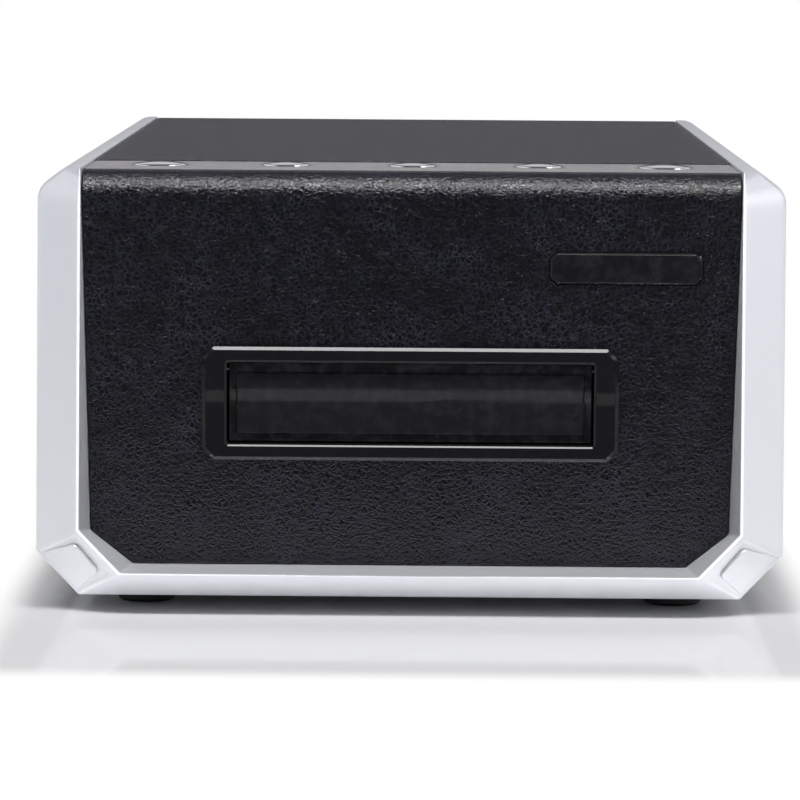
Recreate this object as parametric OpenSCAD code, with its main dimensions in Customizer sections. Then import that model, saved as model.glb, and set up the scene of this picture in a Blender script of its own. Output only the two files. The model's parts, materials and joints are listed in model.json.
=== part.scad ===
// Desktop film scanner: a silver U shell round a black textured body.
// Millimetres, +Z up, front towards -Y, origin on the table under the middle of the body.

/* [Body] */
// Width over the silver shell
body_w = 175; // [160:1:215]
// Depth from the front ridge to the back edge of the shell
body_d = 259; // [240:1:315]
// Height from the table to the top edge of the shell
body_h = 104; // [100:1:126]
// Height of the rubber feet below the shell
foot_h = 4; // [3:0.5:6]
// Wall of the moulded covers
wall = 2.5; // [2:0.1:3.2]
// Gap where two covers meet
seam_gap = 0.25; // [0.15:0.05:0.4]

/* [Silver shell] */
// Width of each silver side seen from above
side_w = 10.7; // [8.5:0.1:13.5]
// How far the front ridge falls back from its foot to the top
lean = 8.5; // [6:0.5:11]
// Depth of the outer bevel behind the ridge
bevel_d = 7; // [4:0.5:10]
// Cut of the two lower corners
corner_cut = 10; // [6:0.5:14]
// Flat land along the ridge
ridge_land = 0.7; // [0.4:0.1:1.5]

/* [Front and top] */
// Radius of the rolled top edge of the front panel
roll_r = 6.5; // [5:0.5:8]
// Step of the button strip below the shell's top edge
top_step = 0.6; // [0.4:0.1:1.5]
// Step of the top cover below the shell's top edge
cover_step = 0.35; // [0.2:0.05:1.2]
// Depth of the button strip
strip_d = 31.5; // [26:0.5:38]
// Distance between button centres
button_pitch = 30; // [24:0.5:33]
// Cap diameter of the two end buttons
end_cap_d = 13; // [10:0.5:15]
// Cap diameter of the three middle buttons
mid_cap_d = 11.5; // [9:0.5:14]
// Travel of each button
button_travel = 0.6; // [0.3:0.1:1]
// Length of the bare plate on the front
plate_w = 35.4; // [20:0.2:45]
// Height of the bare plate on the front
plate_h = 7.3; // [5:0.1:10]

/* [Film window] */
// Width of the window in the bezel
window_w = 85.5; // [70:0.5:103]
// Height of the window in the bezel
window_h = 19.2; // [17:0.2:23]
// Height of the window's middle above the table
window_z = 49.4; // [46:0.2:54]
// Width of the bezel's rim
bezel_rim_w = 5; // [4:0.2:8]
// Height of the bezel's rim
bezel_rim_h = 3.7; // [3:0.1:6]
// How far the bezel stands out of the front panel
bezel_out = 1.8; // [1:0.1:3]
// Width of the channel that the film holder runs in
channel_w = 81; // [66:0.5:98]
// Clear height of that channel
channel_h = 10; // [9:0.5:12]

/* [Film drive] */
// Diameter of the feed and pinch shafts
shaft_d = 5; // [4:0.5:6]
// Diameter of the rubber feed rollers
feed_roller_d = 16; // [13:0.2:19.4]
// Diameter of the rubber pinch rollers
pinch_roller_d = 12; // [10:0.5:14]
// How far each roller reaches into the channel
roller_bite = 1; // [0.5:0.1:1.5]
// Module of the feed gears
feed_module = 0.8; // [0.7:0.05:0.9]
// Module of the motor gears
motor_module = 0.5; // [0.4:0.05:0.6]
// Radial running clearance of every shaft and pin
run_gap = 0.06; // [0.02:0.01:0.1]
// Diameter of the stepper motor
motor_d = 35; // [28:0.5:40]

/* [Hidden] */
$fn = 48;

// Colours
silver = [0.80, 0.81, 0.84];
leather_black = [0.10, 0.10, 0.12];
gloss_black = [0.05, 0.05, 0.06];
strip_grey = [0.42, 0.42, 0.44];
chrome = [0.86, 0.86, 0.88];
steel = [0.66, 0.67, 0.70];
rubber_black = [0.07, 0.07, 0.07];
nylon_white = [0.92, 0.91, 0.86];
board_green = [0.07, 0.33, 0.18];
brass = [0.80, 0.64, 0.30];
glass_blue = [0.60, 0.75, 0.85];

// Overlap of solids that are joined into one
fuse = 0.1;
// Reach of a cut past the face that it opens
over = 1;

// Outer planes
half_w = body_w / 2;
front_y = -body_d / 2;
back_y = body_d / 2;
in_x = half_w - side_w;
panel_y = front_y + lean;
top_z = body_h - top_step;
cover_z = body_h - cover_step;
floor_z = foot_h + wall;

// Points on the curve from a to b that leaves and meets them towards c
corner_steps = 3;

function soft_corner(a, c, b) = [
    for (k = [0:corner_steps]) let (t = k / corner_steps)
        (1 - t) * (1 - t) * a + 2 * t * (1 - t) * c + t * t * b
];

// Right halves of the shell's outlines, as [x, z] from the top down
bottom_z = foot_h;
ridge_low_z = bottom_z + 5.9;
ridge_pts = [
    [in_x + ridge_land, body_h - 0.3],
    [in_x + 0.6, bottom_z + 15.9],
    [in_x - 9.2, ridge_low_z]
];
outline_pts = concat(
    [[in_x, body_h]],
    soft_corner([in_x + 2, body_h], [in_x + 4, body_h], [in_x + 5.7, body_h - 1.15]),
    soft_corner([half_w - 2.1, body_h - 3.45], [half_w, body_h - 5.1], [half_w, body_h - 8.6]),
    [[half_w, bottom_z + corner_cut + 0.4], [half_w - corner_cut, bottom_z]]
);
opening_pts = [
    [in_x, body_h + 2],
    [in_x - 2, bottom_z + 15.1],
    [in_x - 12, bottom_z + 7.2]
];

// Button strip
strip_y = panel_y + roll_r;
seam_y = strip_y + strip_d;
strip_t = 2;
button_y = strip_y + 0.57 * strip_d;
cap_gap = 0.25;
cap_rise = 0.85;
flange_t = 0.8;
flange_w = 1;
stem_r = 1.6;
dish_w = 1.1;
dish_depth = 0.9;
switch_top_z = top_z - strip_t - 3.2;
switch_h = 3.4;
switch_w = 6;
plunger_r = 1.7;
plunger_h = 1.2;
button_board_t = 1.6;
button_board_z = switch_top_z - plunger_h - switch_h - button_board_t;

// Posts between the button strip and its board, as [x, y]
post_r = 2.4;
post_hole_r = 0.9;
post_spots = [
    for (i = [-2:1], y = [strip_y + 6, seam_y - 4]) [(i + 0.5) * button_pitch, y]
];

// Bare plate on the front
plate_x = 50;
plate_z = window_z + 32;
plate_cut = 1.5;
plate_out = 0.8;
plate_bevel = 0.5;

// Front flap
window_low_z = window_z - window_h / 2;
window_high_z = window_z + window_h / 2;
throat_t = 1.8;
throat_d = 8;
flap_t = 1.2;
flap_pad_t = 0.8;
flap_set = 1.5;
flap_gap = 0.4;
flap_barrel_r = 1.6;
flap_pin_r = 0.75;
flap_y = panel_y + flap_set;
flap_hinge_y = flap_y + flap_t + 1.4;
flap_hinge_z = window_high_z - 0.35 - flap_barrel_r;
knuckle_len = 11;

// Film channel
channel_low_z = window_z - channel_h / 2;
channel_high_z = window_z + channel_h / 2;
guide_t = 1.5;
rail_t = 1.6;
guide_y = panel_y + 24;
guide_end_y = back_y - 8;
frame_t = 1.2;
frame_x = channel_w / 2 + 5.5;
frame_y = guide_y + 2;
frame_end_y = back_y - 18;
frame_top_z = channel_high_z + 12;
chassis_z = floor_z + 2;
chassis_t = 1.2;
deck_z = chassis_z + chassis_t;
chassis_y = panel_y + 8;
chassis_end_y = back_y - 10;

// Drive train: every shaft runs along X; positions are [y, z]
feed_teeth = 30;
idler_teeth = 40;
small_teeth = 16;
large_teeth = 48;
pinion_teeth = 12;
feed_r = feed_module * feed_teeth / 2;
idler_r = feed_module * idler_teeth / 2;
small_r = feed_module * small_teeth / 2;
large_r = motor_module * large_teeth / 2;
pinion_r = motor_module * pinion_teeth / 2;
compound_angle = 225;
motor_angle = 30;
feed_z = channel_low_z + roller_bite - feed_roller_d / 2;
pinch_z = channel_high_z - roller_bite + pinch_roller_d / 2;
front_feed = [guide_y + 28, feed_z];
idler = front_feed + [feed_r + idler_r, 0];
rear_feed = idler + [feed_r + idler_r, 0];
compound = front_feed + (feed_r + small_r) * [cos(compound_angle), sin(compound_angle)];
motor = compound + (large_r + pinion_r) * [cos(motor_angle), sin(motor_angle)];
scan_y = idler[0];
scan_slot_w = 42;
scan_slot_d = 6;
gear_w = 5;
gear_x = frame_x + frame_t + 1.3;
large_w = 3;
large_x = gear_x + gear_w;
pinion_w = 4;
pinion_x = large_x + 0.5;
bracket_x = large_x + large_w + 2.4;
bracket_t = 1.2;
stud_r = 1.5;
motor_shaft_r = 1;
motor_len = 17;
motor_nose_r = 3;
motor_nose_h = 0.8;
ear_r = 3.5;
ear_span = motor_d / 2 + 3;
roller_w = 7;
roller_x = channel_w / 2 - roller_w / 2 - 1.5;
core_r = shaft_d / 2 + 1.5;
bush_r = shaft_d / 2 + 1.5;
bush_len = 4;
seat_gap = 0.03;
bush_flange_r = bush_r + 1.2;

// Optics
bench_t = 2.5;
axis_z = deck_z + bench_t + 12;
lens_y = scan_y + 44;
lens_r = 11;
lens_len = 26;
lens_wall = 2.5;
saddle_rise = 5;
sensor_y = lens_y + 48;
mirror_t = 2.5;
mirror_len = 20;
mirror_w = 46;

// Electronics
tray_t = 1.2;
tray_y = back_y - 122;
standoff_h = 5;
board_t = 1.6;
board_w = 138;
board_d = 104;
board_y = back_y - 112;
board_z = frame_top_z + tray_t + standoff_h;
usb_w = 12;
usb_h = 11;
usb_d = 16;
usb_x = -30;
dc_w = 9.4;
dc_h = 11;
dc_d = 14;
dc_x = 30;
dc_hole_r = 3.2;
dc_pin_r = 1;
socket_y = back_y - 3;
mouth_y = socket_y + 1.4;

// Back panel
back_t = 2.5;
back_set = 0.6;
panel_back_y = back_y - back_set;
rear_slot_w = channel_w + 4;
rear_slot_h = channel_h + 6.2;
rear_slot_low_z = channel_low_z - 2.8;
rear_rim = 6;
rear_rim_t = 2;
rear_flap_t = 1.8;
rear_trunnion_r = 1;
rear_hinge_y = panel_back_y - 3.6;
rear_hinge_z = rear_slot_low_z + rear_slot_h - 1.7;

// Feet and screws
foot_r = 7;
foot_x = in_x - 14;
foot_front_y = front_y + 26;
foot_back_y = back_y - 24;
foot_inset = 0.6;
foot_gap = 0.15;
foot_taper_h = 1;
boss_r = 4;
screw_r = 1.5;
screw_gap = 0.15;
pilot_r = screw_r + 0.05;
screw_head_r = 2.8;
screw_head_h = 1.8;
boss_spots = [
    for (x = [-1, 1], y = [front_y + 28, 0, back_y - 40]) [x * (frame_x + 17), y]
];

// Bosses behind the front panel and screws in the back panel, as [x, z]
panel_boss_spots = [
    for (x = [-1, 1], z = [bottom_z + 18, top_z - 22]) [x * (in_x - 16), z]
];
back_screw_spots = [
    for (x = [-56, 56], z = [floor_z + 8, top_z - wall - seam_gap - 8]) [x, z]
];

// ---- Helpers ----

// Extrudes an [x, z] outline along Y
module xz_prism(y_from, y_to) {
    translate([0, y_to, 0]) rotate([90, 0, 0]) linear_extrude(y_to - y_from) children();
}

// Extrudes a [y, z] outline along X
module yz_prism(x_from, x_to) {
    translate([x_from, 0, 0]) rotate([90, 0, 90]) linear_extrude(x_to - x_from) children();
}

// Cylinder along X at [y, z]
module x_rod(spot, r, x_from, x_to) {
    translate([x_from, spot[0], spot[1]]) rotate([0, 90, 0]) cylinder(r = r, h = x_to - x_from);
}

// Cylinder along Y at [x, z]
module y_rod(spot, r, y_from, y_to) {
    translate([spot[0], y_to, spot[1]]) rotate([90, 0, 0]) cylinder(r = r, h = y_to - y_from);
}

// Box between two corners
module block(low, high) {
    translate(low) cube(high - low);
}

module both_sides() {
    children();
    mirror([1, 0, 0]) children();
}

// Closed outline from its right half
module full_outline(right_half) {
    n = len(right_half);
    left_half = [for (i = [n - 1:-1:0]) [-right_half[i][0], right_half[i][1]]];
    polygon(concat(right_half, left_half));
}

// Rectangle with its corners cut, centred
module cut_rect(w, h, cut) {
    polygon([
        [-w / 2 + cut, -h / 2], [w / 2 - cut, -h / 2], [w / 2, -h / 2 + cut],
        [w / 2, h / 2 - cut], [w / 2 - cut, h / 2], [-w / 2 + cut, h / 2],
        [-w / 2, h / 2 - cut], [-w / 2, -h / 2 + cut]
    ]);
}

// Rectangle with round corners, centred
module round_rect(w, h, r) {
    square([w - 2 * r, h], center = true);
    square([w, h - 2 * r], center = true);
    for (x = [-1, 1], y = [-1, 1])
        translate([x * (w / 2 - r), y * (h / 2 - r)]) circle(r);
}

// Screw with a domed head on the plane z = 0, its shank pointing down
module pan_screw(shank) {
    translate([0, 0, -shank]) cylinder(r = screw_r, h = shank);
    difference() {
        cylinder(r1 = screw_head_r, r2 = screw_head_r - 0.6, h = screw_head_h);
        for (a = [0, 90]) rotate(a) translate([-1.6, -0.3, screw_head_h - 0.9]) cube([3.2, 0.6, 1]);
    }
}

// Spur gear in the YZ plane: straight-flanked teeth, with a tooth centred on the angle phase
module spur_gear(spot, teeth, mod, phase, x_from, x_to) {
    pitch_r = mod * teeth / 2;
    tip_r = pitch_r + 0.9 * mod;
    root_r = pitch_r - 1.25 * mod;
    step = 360 / teeth;
    outline = [
        for (i = [0:teeth - 1], p = [[root_r, -0.34], [tip_r, -0.11], [tip_r, 0.11], [root_r, 0.34]])
            let (a = phase + step * (i + p[1])) p[0] * [cos(a), sin(a)]
    ];
    yz_prism(x_from, x_to) translate(spot) polygon(outline);
}

// Phase that puts gear 2 in mesh with gear 1, where gear 2 lies at the angle phi from gear 1
function mesh_phase(phase_1, teeth_1, teeth_2, phi) =
    phi + 180 + (phi - phase_1) * teeth_1 / teeth_2 + 180 / teeth_2;

front_feed_phase = 0;
idler_phase = mesh_phase(front_feed_phase, feed_teeth, idler_teeth, 0);
rear_feed_phase = mesh_phase(idler_phase, idler_teeth, feed_teeth, 0);
small_phase = mesh_phase(front_feed_phase, feed_teeth, small_teeth, compound_angle);
large_phase = 0;
pinion_phase = mesh_phase(large_phase, large_teeth, pinion_teeth, motor_angle);

// ---- Silver shell ----

edge_r = 0.8;

function lean_y(z) = front_y + lean * (z - ridge_low_z - edge_r) / (body_h - ridge_low_z);

// Small balls at an outline's points on both sides, pulled in by their own radius
module outline_balls(points, r, y_shift, leaning) {
    middle_z = body_h / 2;
    for (p = points, side = [-1, 1]) {
        z = p[1] + (p[1] > middle_z ? -r : r);
        y = leaning ? lean_y(z) + y_shift : y_shift;
        translate([side * (p[0] - r), y, z]) sphere(r, $fn = 16);
    }
}

module shell_solid() {
    hull() {
        outline_balls(ridge_pts, edge_r, edge_r, true);
        outline_balls(outline_pts, edge_r, bevel_d, true);
        outline_balls(outline_pts, edge_r, back_y - edge_r, false);
    }
}

// The inner bevel from the ridge's land to the front panel's edge
module front_mouth() {
    dot = 0.01;
    hull() for (i = [0:len(ridge_pts) - 1], side = [-1, 1]) {
        rim = ridge_pts[i];
        inner = opening_pts[i];
        rim_x = side * (rim[0] - ridge_land);
        rim_z = i == 0 ? body_h + 2 : rim[1] + ridge_land / 2;
        translate([rim_x, lean_y(rim_z) - dot, rim_z]) cube(dot, center = true);
        translate([rim_x, front_y - 2, rim_z]) cube(dot, center = true);
        translate([side * inner[0], panel_y + 0.5, inner[1]]) cube(dot, center = true);
    }
}

cavity_pts = [
    [half_w - wall - 4.5, body_h - wall - 1],
    [half_w - wall, body_h - 9.4],
    [half_w - wall, bottom_z + corner_cut + 2],
    [half_w - corner_cut - 1, floor_z]
];
front_frame_d = wall + 1.5;
top_return_h = wall + 4;
boss_h = 2;
vent_w = 60;
vent_d = 2.6;
vent_pitch = 8;

// Cap set into the outer bevel at a lower corner, grown by the clearance of its recess
cap_edge_r = 1.1;
cap_clearance = 0.12;
cap_proud = 0.3;
cap_corners = [[0.17, 0.22], [0.81, 0.27], [0.07, 0.9], [0.94, 0.89]];

module corner_cap_solid(grow) {
    a = ridge_pts[1];
    b = ridge_pts[2];
    c = outline_pts[len(outline_pts) - 1];
    d = outline_pts[len(outline_pts) - 2];
    quad = [
        [a[0], lean_y(a[1]), a[1]], [b[0], lean_y(b[1]), b[1]],
        [c[0], lean_y(c[1]) + bevel_d, c[1]], [d[0], lean_y(d[1]) + bevel_d, d[1]]
    ];
    normal = cross(quad[1] - quad[0], quad[3] - quad[0]);
    inset = (cap_edge_r - cap_proud) * normal / norm(normal);
    hull() for (uv = cap_corners) {
        near_ridge = (1 - uv[0]) * quad[0] + uv[0] * quad[1];
        near_side = (1 - uv[0]) * quad[3] + uv[0] * quad[2];
        middle = (1 - uv[1]) * near_ridge + uv[1] * near_side - inset;
        translate(middle) sphere(cap_edge_r + grow, $fn = 16);
    }
}

module outer_shell() {
    color(silver) difference() {
        union() {
            difference() {
                shell_solid();
                front_mouth();
                xz_prism(panel_y, panel_y + front_frame_d + 2.5) full_outline(opening_pts);
                xz_prism(panel_y + front_frame_d, back_y + over) full_outline(cavity_pts);
                block([-in_x, panel_y, body_h - top_return_h], [in_x, back_y + over, body_h + over]);
            }
            for (s = boss_spots) translate([s[0], s[1], floor_z - 5 * fuse])
                cylinder(r = boss_r, h = boss_h + 5 * fuse);
        }
        for (s = boss_spots) translate([s[0], s[1], bottom_z + 1])
            cylinder(r = pilot_r, h = wall + boss_h + over);
        for (x = [-foot_x, foot_x], y = [foot_front_y, foot_back_y])
            translate([x, y, bottom_z - over]) cylinder(r = foot_r + foot_gap, h = over + foot_inset);
        for (y = [-20:vent_pitch:36]) translate([0, y, bottom_z - over])
            linear_extrude(wall + 2 * over) round_rect(vent_w, vent_d, vent_d / 2 - fuse);
        both_sides() corner_cap_solid(cap_clearance);
    }
}

module corner_caps() {
    color(silver) both_sides() corner_cap_solid(0);
}

module rubber_feet() {
    color(rubber_black) for (x = [-foot_x, foot_x], y = [foot_front_y, foot_back_y])
        translate([x, y, 0]) {
            cylinder(r1 = foot_r - 0.6, r2 = foot_r, h = foot_taper_h);
            translate([0, 0, foot_taper_h])
                cylinder(r = foot_r, h = foot_h + foot_inset - foot_taper_h);
        }
}

// ---- Black covers ----

// Section of the front panel: upright wall, rolled top edge, short landing under the strip
module front_section() {
    low_z = bottom_z + 8;
    roll_z = top_z - roll_r;
    landing_t = 1.6;
    landing_in = 1.5;
    landing_d = 3.5;
    difference() {
        union() {
            translate([panel_y, low_z]) square([roll_r, roll_z - low_z]);
            translate([strip_y, roll_z]) quarter_disc(roll_r);
        }
        translate([panel_y + wall, low_z - over]) square([roll_r, roll_z - low_z + over]);
        translate([strip_y, roll_z]) quarter_disc(roll_r - wall);
    }
    translate([strip_y - landing_in, top_z - strip_t - fuse - landing_t])
        square([landing_in + landing_d, landing_t]);
}

// Upper left quarter of a disc
module quarter_disc(r) {
    intersection() {
        circle(r, $fn = 96);
        translate([-r, 0]) square(r);
    }
}

panel_boss_r = 3.2;
panel_boss_h = 7;
plate_pocket = 0.6;
slip_gap = 0.1;
rib_t = 1.6;

module front_panel() {
    inner_y = panel_y + wall;
    rib_x = window_w / 2 + 19.25;
    color(leather_black) difference() {
        union() {
            intersection() {
                yz_prism(-in_x - over, in_x + over) front_section();
                xz_prism(panel_y - over, panel_y + 20) full_outline([
                    for (p = opening_pts) [p[0] - seam_gap, p[1] + seam_gap]
                ]);
            }
            for (s = panel_boss_spots) y_rod(s, panel_boss_r, inner_y - fuse, inner_y + panel_boss_h);
            for (x = [-rib_x, rib_x])
                block([x - rib_t / 2, inner_y - fuse, bottom_z + 22],
                      [x + rib_t / 2, inner_y + 4, top_z - 28]);
        }
        for (s = panel_boss_spots) y_rod(s, pilot_r, inner_y + 1, inner_y + panel_boss_h + over);
        block([-window_w / 2 - throat_t - slip_gap, panel_y - over, window_low_z - throat_t - slip_gap],
              [window_w / 2 + throat_t + slip_gap, inner_y + over, window_high_z + throat_t + slip_gap]);
        xz_prism(panel_y - over, panel_y + plate_pocket) translate([plate_x, plate_z])
            cut_rect(plate_w + 2 * slip_gap, plate_h + 2 * slip_gap, plate_cut + slip_gap);
    }
}

module blank_plate() {
    color(gloss_black) translate([plate_x, 0, plate_z]) hull() {
        xz_prism(panel_y - plate_out + plate_bevel, panel_y + plate_pocket - 0.05)
            cut_rect(plate_w, plate_h, plate_cut);
        xz_prism(panel_y - plate_out, panel_y + plate_bevel)
            cut_rect(plate_w - 2 * plate_bevel, plate_h - 2 * plate_bevel, plate_cut - 0.3);
    }
}

module top_cover() {
    cover_x = in_x - seam_gap;
    end_y = panel_back_y;
    under_z = cover_z - wall;
    rib_z = under_z - 4;
    color(leather_black) union() {
        block([-cover_x, seam_y + seam_gap, under_z], [cover_x, end_y, cover_z]);
        both_sides() block([cover_x - 2, seam_y + 6, rib_z], [cover_x, end_y - 6, under_z + fuse]);
        for (y = [seam_y + 30:40:end_y - 20])
            block([-cover_x + 1, y, rib_z + 1.5], [cover_x - 1, y + rib_t, under_z + fuse]);
    }
}

// ---- Buttons ----

function cap_r(i) = (abs(i) == 2 ? end_cap_d : mid_cap_d) / 2;

module button_strip() {
    strip_x = in_x - seam_gap;
    under_z = top_z - strip_t;
    color(strip_grey) difference() {
        union() {
            block([-strip_x, strip_y + 0.2, under_z], [strip_x, seam_y, top_z]);
            for (s = post_spots) translate([s[0], s[1], button_board_z + button_board_t])
                cylinder(r = post_r, h = under_z - button_board_z - button_board_t + fuse);
        }
        for (i = [-2:2]) translate([i * button_pitch, button_y, 0]) {
            dish_r = cap_r(i) + dish_w;
            dish_ball_r = 40;
            translate([0, 0, under_z - over]) cylinder(r = cap_r(i) + cap_gap, h = strip_t + 2 * over);
            translate([0, 0, top_z - dish_depth + dish_ball_r]) intersection() {
                sphere(dish_ball_r, $fn = 128);
                cylinder(r = dish_r, h = 2 * dish_ball_r, center = true);
            }
        }
        for (s = post_spots) translate([s[0], s[1], button_board_z]) cylinder(r = post_hole_r, h = 6);
    }
}

// Domed cap with a retaining flange under the strip and a stem down to its switch
module button_cap(i) {
    r = cap_r(i);
    under_z = top_z - strip_t;
    dome_ball_r = 5 * r;
    color(chrome) translate([i * button_pitch, button_y, 0]) {
        intersection() {
            translate([0, 0, under_z - fuse]) cylinder(r = r, h = strip_t + cap_rise + over);
            translate([0, 0, top_z + cap_rise - dome_ball_r]) sphere(dome_ball_r, $fn = 128);
        }
        translate([0, 0, under_z - fuse - flange_t]) cylinder(r = r + flange_w, h = flange_t);
        stem_low_z = switch_top_z + button_travel + 0.2;
        translate([0, 0, stem_low_z]) cylinder(r = stem_r, h = under_z - 2 * fuse - stem_low_z);
    }
}

module power_button() { button_cap(-2); }
module load_button() { button_cap(-1); }
module scan_button() { button_cap(0); }
module preset_button() { button_cap(1); }
module eject_button() { button_cap(2); }

module button_board() {
    color(board_green) difference() {
        block([-2 * button_pitch - 10, strip_y + 2, button_board_z],
              [2 * button_pitch + 10, seam_y - 1, button_board_z + button_board_t]);
        for (s = post_spots) translate([s[0], s[1], button_board_z - over])
            cylinder(r = post_hole_r + 0.3, h = button_board_t + 2 * over);
    }
}

module button_switches() {
    base_z = button_board_z + button_board_t;
    color(steel) for (i = [-2:2]) translate([i * button_pitch, button_y, base_z]) {
        translate([-switch_w / 2, -switch_w / 2, 0]) cube([switch_w, switch_w, switch_h]);
        translate([0, 0, switch_h - fuse]) cylinder(r = plunger_r, h = plunger_h + fuse);
    }
}

// ---- Film window ----

module window_bezel() {
    outer_w = window_w + 2 * bezel_rim_w;
    outer_h = window_h + 2 * bezel_rim_h;
    front = panel_y - bezel_out;
    sleeve_y = panel_y + wall + throat_d;
    bezel_bevel = 0.9;
    mouth_bevel = 0.7;
    bezel_cut = 2.2;
    color(gloss_black) translate([0, 0, window_z]) difference() {
        union() {
            hull() {
                xz_prism(panel_y - bezel_bevel, panel_y) cut_rect(outer_w, outer_h, bezel_cut);
                xz_prism(front, panel_y)
                    cut_rect(outer_w - 2 * bezel_bevel, outer_h - 2 * bezel_bevel, bezel_cut - 0.5);
            }
            xz_prism(panel_y - fuse, sleeve_y)
                square([window_w + 2 * throat_t, window_h + 2 * throat_t], center = true);
        }
        xz_prism(front - over, sleeve_y + over) square([window_w, window_h], center = true);
        hull() {
            xz_prism(front - fuse, front)
                square([window_w + 2 * mouth_bevel, window_h + 2 * mouth_bevel], center = true);
            xz_prism(front, front + mouth_bevel) square([window_w, window_h], center = true);
        }
        x_rod([flap_hinge_y, flap_hinge_z - window_z], flap_pin_r, -window_w, window_w);
    }
}

module flap_pin() {
    reach = window_w / 2 + throat_t;
    color(steel) x_rod([flap_hinge_y, flap_hinge_z], flap_pin_r, -reach, reach);
}

module flap_door() {
    half = window_w / 2 - flap_gap;
    pad_edge = 1.8;
    pad_half = half - pad_edge;
    low_z = window_low_z + flap_gap;
    high_z = window_high_z - flap_gap;
    barrel_end = half - 0.2;
    rib_t = 1.2;
    rib_h = 0.9;
    color(gloss_black) difference() {
        union() {
            block([-half, flap_y, low_z], [half, flap_y + flap_t, high_z]);
            xz_prism(flap_y - flap_pad_t, flap_y + fuse) translate([0, window_z])
                round_rect(2 * pad_half, window_h - 2 * (flap_gap + pad_edge), 0.8);
            both_sides()
                x_rod([flap_hinge_y, flap_hinge_z], flap_barrel_r, barrel_end - knuckle_len, barrel_end);
            for (x = [-24, 0, 24])
                block([x - rib_t / 2, flap_y + flap_t - fuse, low_z + 1],
                      [x + rib_t / 2, flap_y + flap_t + rib_h, high_z - 5]);
        }
        x_rod([flap_hinge_y, flap_hinge_z], flap_pin_r + run_gap, -window_w, window_w);
    }
}

// Torsion spring round the pin: a helix of round wire, whose free leg lies on the flap's back
spring_wire_r = 0.2;
spring_turns = 6;
spring_r = flap_pin_r + 0.35;
spring_pitch = 0.55;
spring_x = 12;

function coil_path() = concat(
    [for (i = [0:spring_turns * 12]) let (a = 270 + 30 * i) [
        spring_x + spring_pitch * i / 12,
        flap_hinge_y + spring_r * cos(a),
        flap_hinge_z + spring_r * sin(a)
    ]],
    [for (d = [2, 6, 9]) [
        spring_x + spring_pitch * spring_turns + 0.3,
        flap_y + flap_t + spring_wire_r + 0.05,
        flap_hinge_z - spring_r - d
    ]]
);

// Tube along a path, with a ring of sides square to each step
module wire_tube(path, r, sides) {
    n = len(path);
    function step_dir(i) =
        let (v = path[min(i + 1, n - 1)] - path[max(i - 1, 0)]) v / norm(v);
    function ring(i) =
        let (t = step_dir(i), u0 = cross(t, [1, 0, 0.001]), u = u0 / norm(u0), w = cross(t, u))
        [for (k = [0:sides - 1]) let (a = 360 * k / sides) path[i] + r * (cos(a) * u + sin(a) * w)];
    points = [for (i = [0:n - 1]) each ring(i)];
    walls = [
        for (i = [0:n - 2], k = [0:sides - 1]) let (a = i * sides + k, b = i * sides + (k + 1) % sides)
            [a, a + sides, b + sides, b]
    ];
    start_cap = [[for (k = [0:sides - 1]) k]];
    end_cap = [[for (k = [sides - 1:-1:0]) (n - 1) * sides + k]];
    polyhedron(points, concat(walls, start_cap, end_cap));
}

module flap_spring() {
    color(steel) wire_tube(coil_path(), spring_wire_r, 6);
}

// ---- Chassis and film guides ----

module chassis_plate() {
    edge_x = in_x - 2;
    color(steel) difference() {
        translate([0, 0, chassis_z]) linear_extrude(chassis_t) difference() {
            translate([0, (chassis_y + chassis_end_y) / 2])
                round_rect(2 * edge_x, chassis_end_y - chassis_y, 4);
            for (x = [-1, 1], y = [-70, 60]) translate([x * (edge_x - 5), y]) round_rect(8, 30, 3);
            translate([0, back_y - 40]) round_rect(50, 30, 4);
        }
        for (s = boss_spots) translate([s[0], s[1], chassis_z - over])
            cylinder(r = screw_r + screw_gap, h = chassis_t + 2 * over);
    }
}

// Outline of a side frame in the YZ plane
module frame_outline() {
    difference() {
        translate([frame_y, deck_z]) square([frame_end_y - frame_y, frame_top_z - deck_z]);
        for (s = [front_feed, rear_feed]) translate(s) circle(bush_r + seat_gap);
        for (y = [front_feed[0], rear_feed[0]]) translate([y, pinch_z]) circle(bush_r + seat_gap);
        for (k = [0, 1]) translate([rear_feed[0] + 35 + 42 * k, (deck_z + channel_low_z) / 2 - 1])
            round_rect(34, 18, 5);
    }
}

module side_frame() {
    foot_w = 11;
    flange_w = 8;
    color(steel) {
        yz_prism(frame_x, frame_x + frame_t) frame_outline();
        difference() {
            block([frame_x, frame_end_y - 60, deck_z],
                  [frame_x + foot_w, frame_end_y - 20, deck_z + frame_t]);
            translate([frame_x + foot_w / 2, frame_end_y - 40, deck_z - over])
                cylinder(r = screw_r + screw_gap, h = frame_t + 2 * over);
        }
        block([frame_x, tray_y, frame_top_z - frame_t], [frame_x + flange_w, frame_end_y, frame_top_z]);
    }
}

module left_side_frame() {
    mirror([1, 0, 0]) side_frame();
}

module right_side_frame() {
    color(steel) difference() {
        side_frame();
        for (s = [idler, compound]) x_rod(s, stud_r, frame_x - over, frame_x + frame_t + over);
    }
}

module guide_plate(low_z) {
    slot_len = feed_roller_d - 2;
    notch_gap = 0.6;
    bush_end_x = frame_x - bush_len + frame_t;
    difference() {
        block([-frame_x + slip_gap, guide_y, low_z], [frame_x - slip_gap, guide_end_y, low_z + guide_t]);
        translate([0, 0, low_z - over]) linear_extrude(guide_t + 2 * over) {
            for (x = [-roller_x, roller_x], y = [front_feed[0], rear_feed[0]])
                translate([x, y]) round_rect(roller_w + 2 * notch_gap, slot_len, 1);
            translate([0, scan_y]) round_rect(scan_slot_w, scan_slot_d, 1);
        }
        for (y = [front_feed[0], rear_feed[0]]) both_sides()
            block([bush_end_x - notch_gap / 2, y - bush_flange_r - notch_gap, low_z - over],
                  [frame_x + over, y + bush_flange_r + notch_gap, low_z + guide_t + over]);
    }
}

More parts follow.
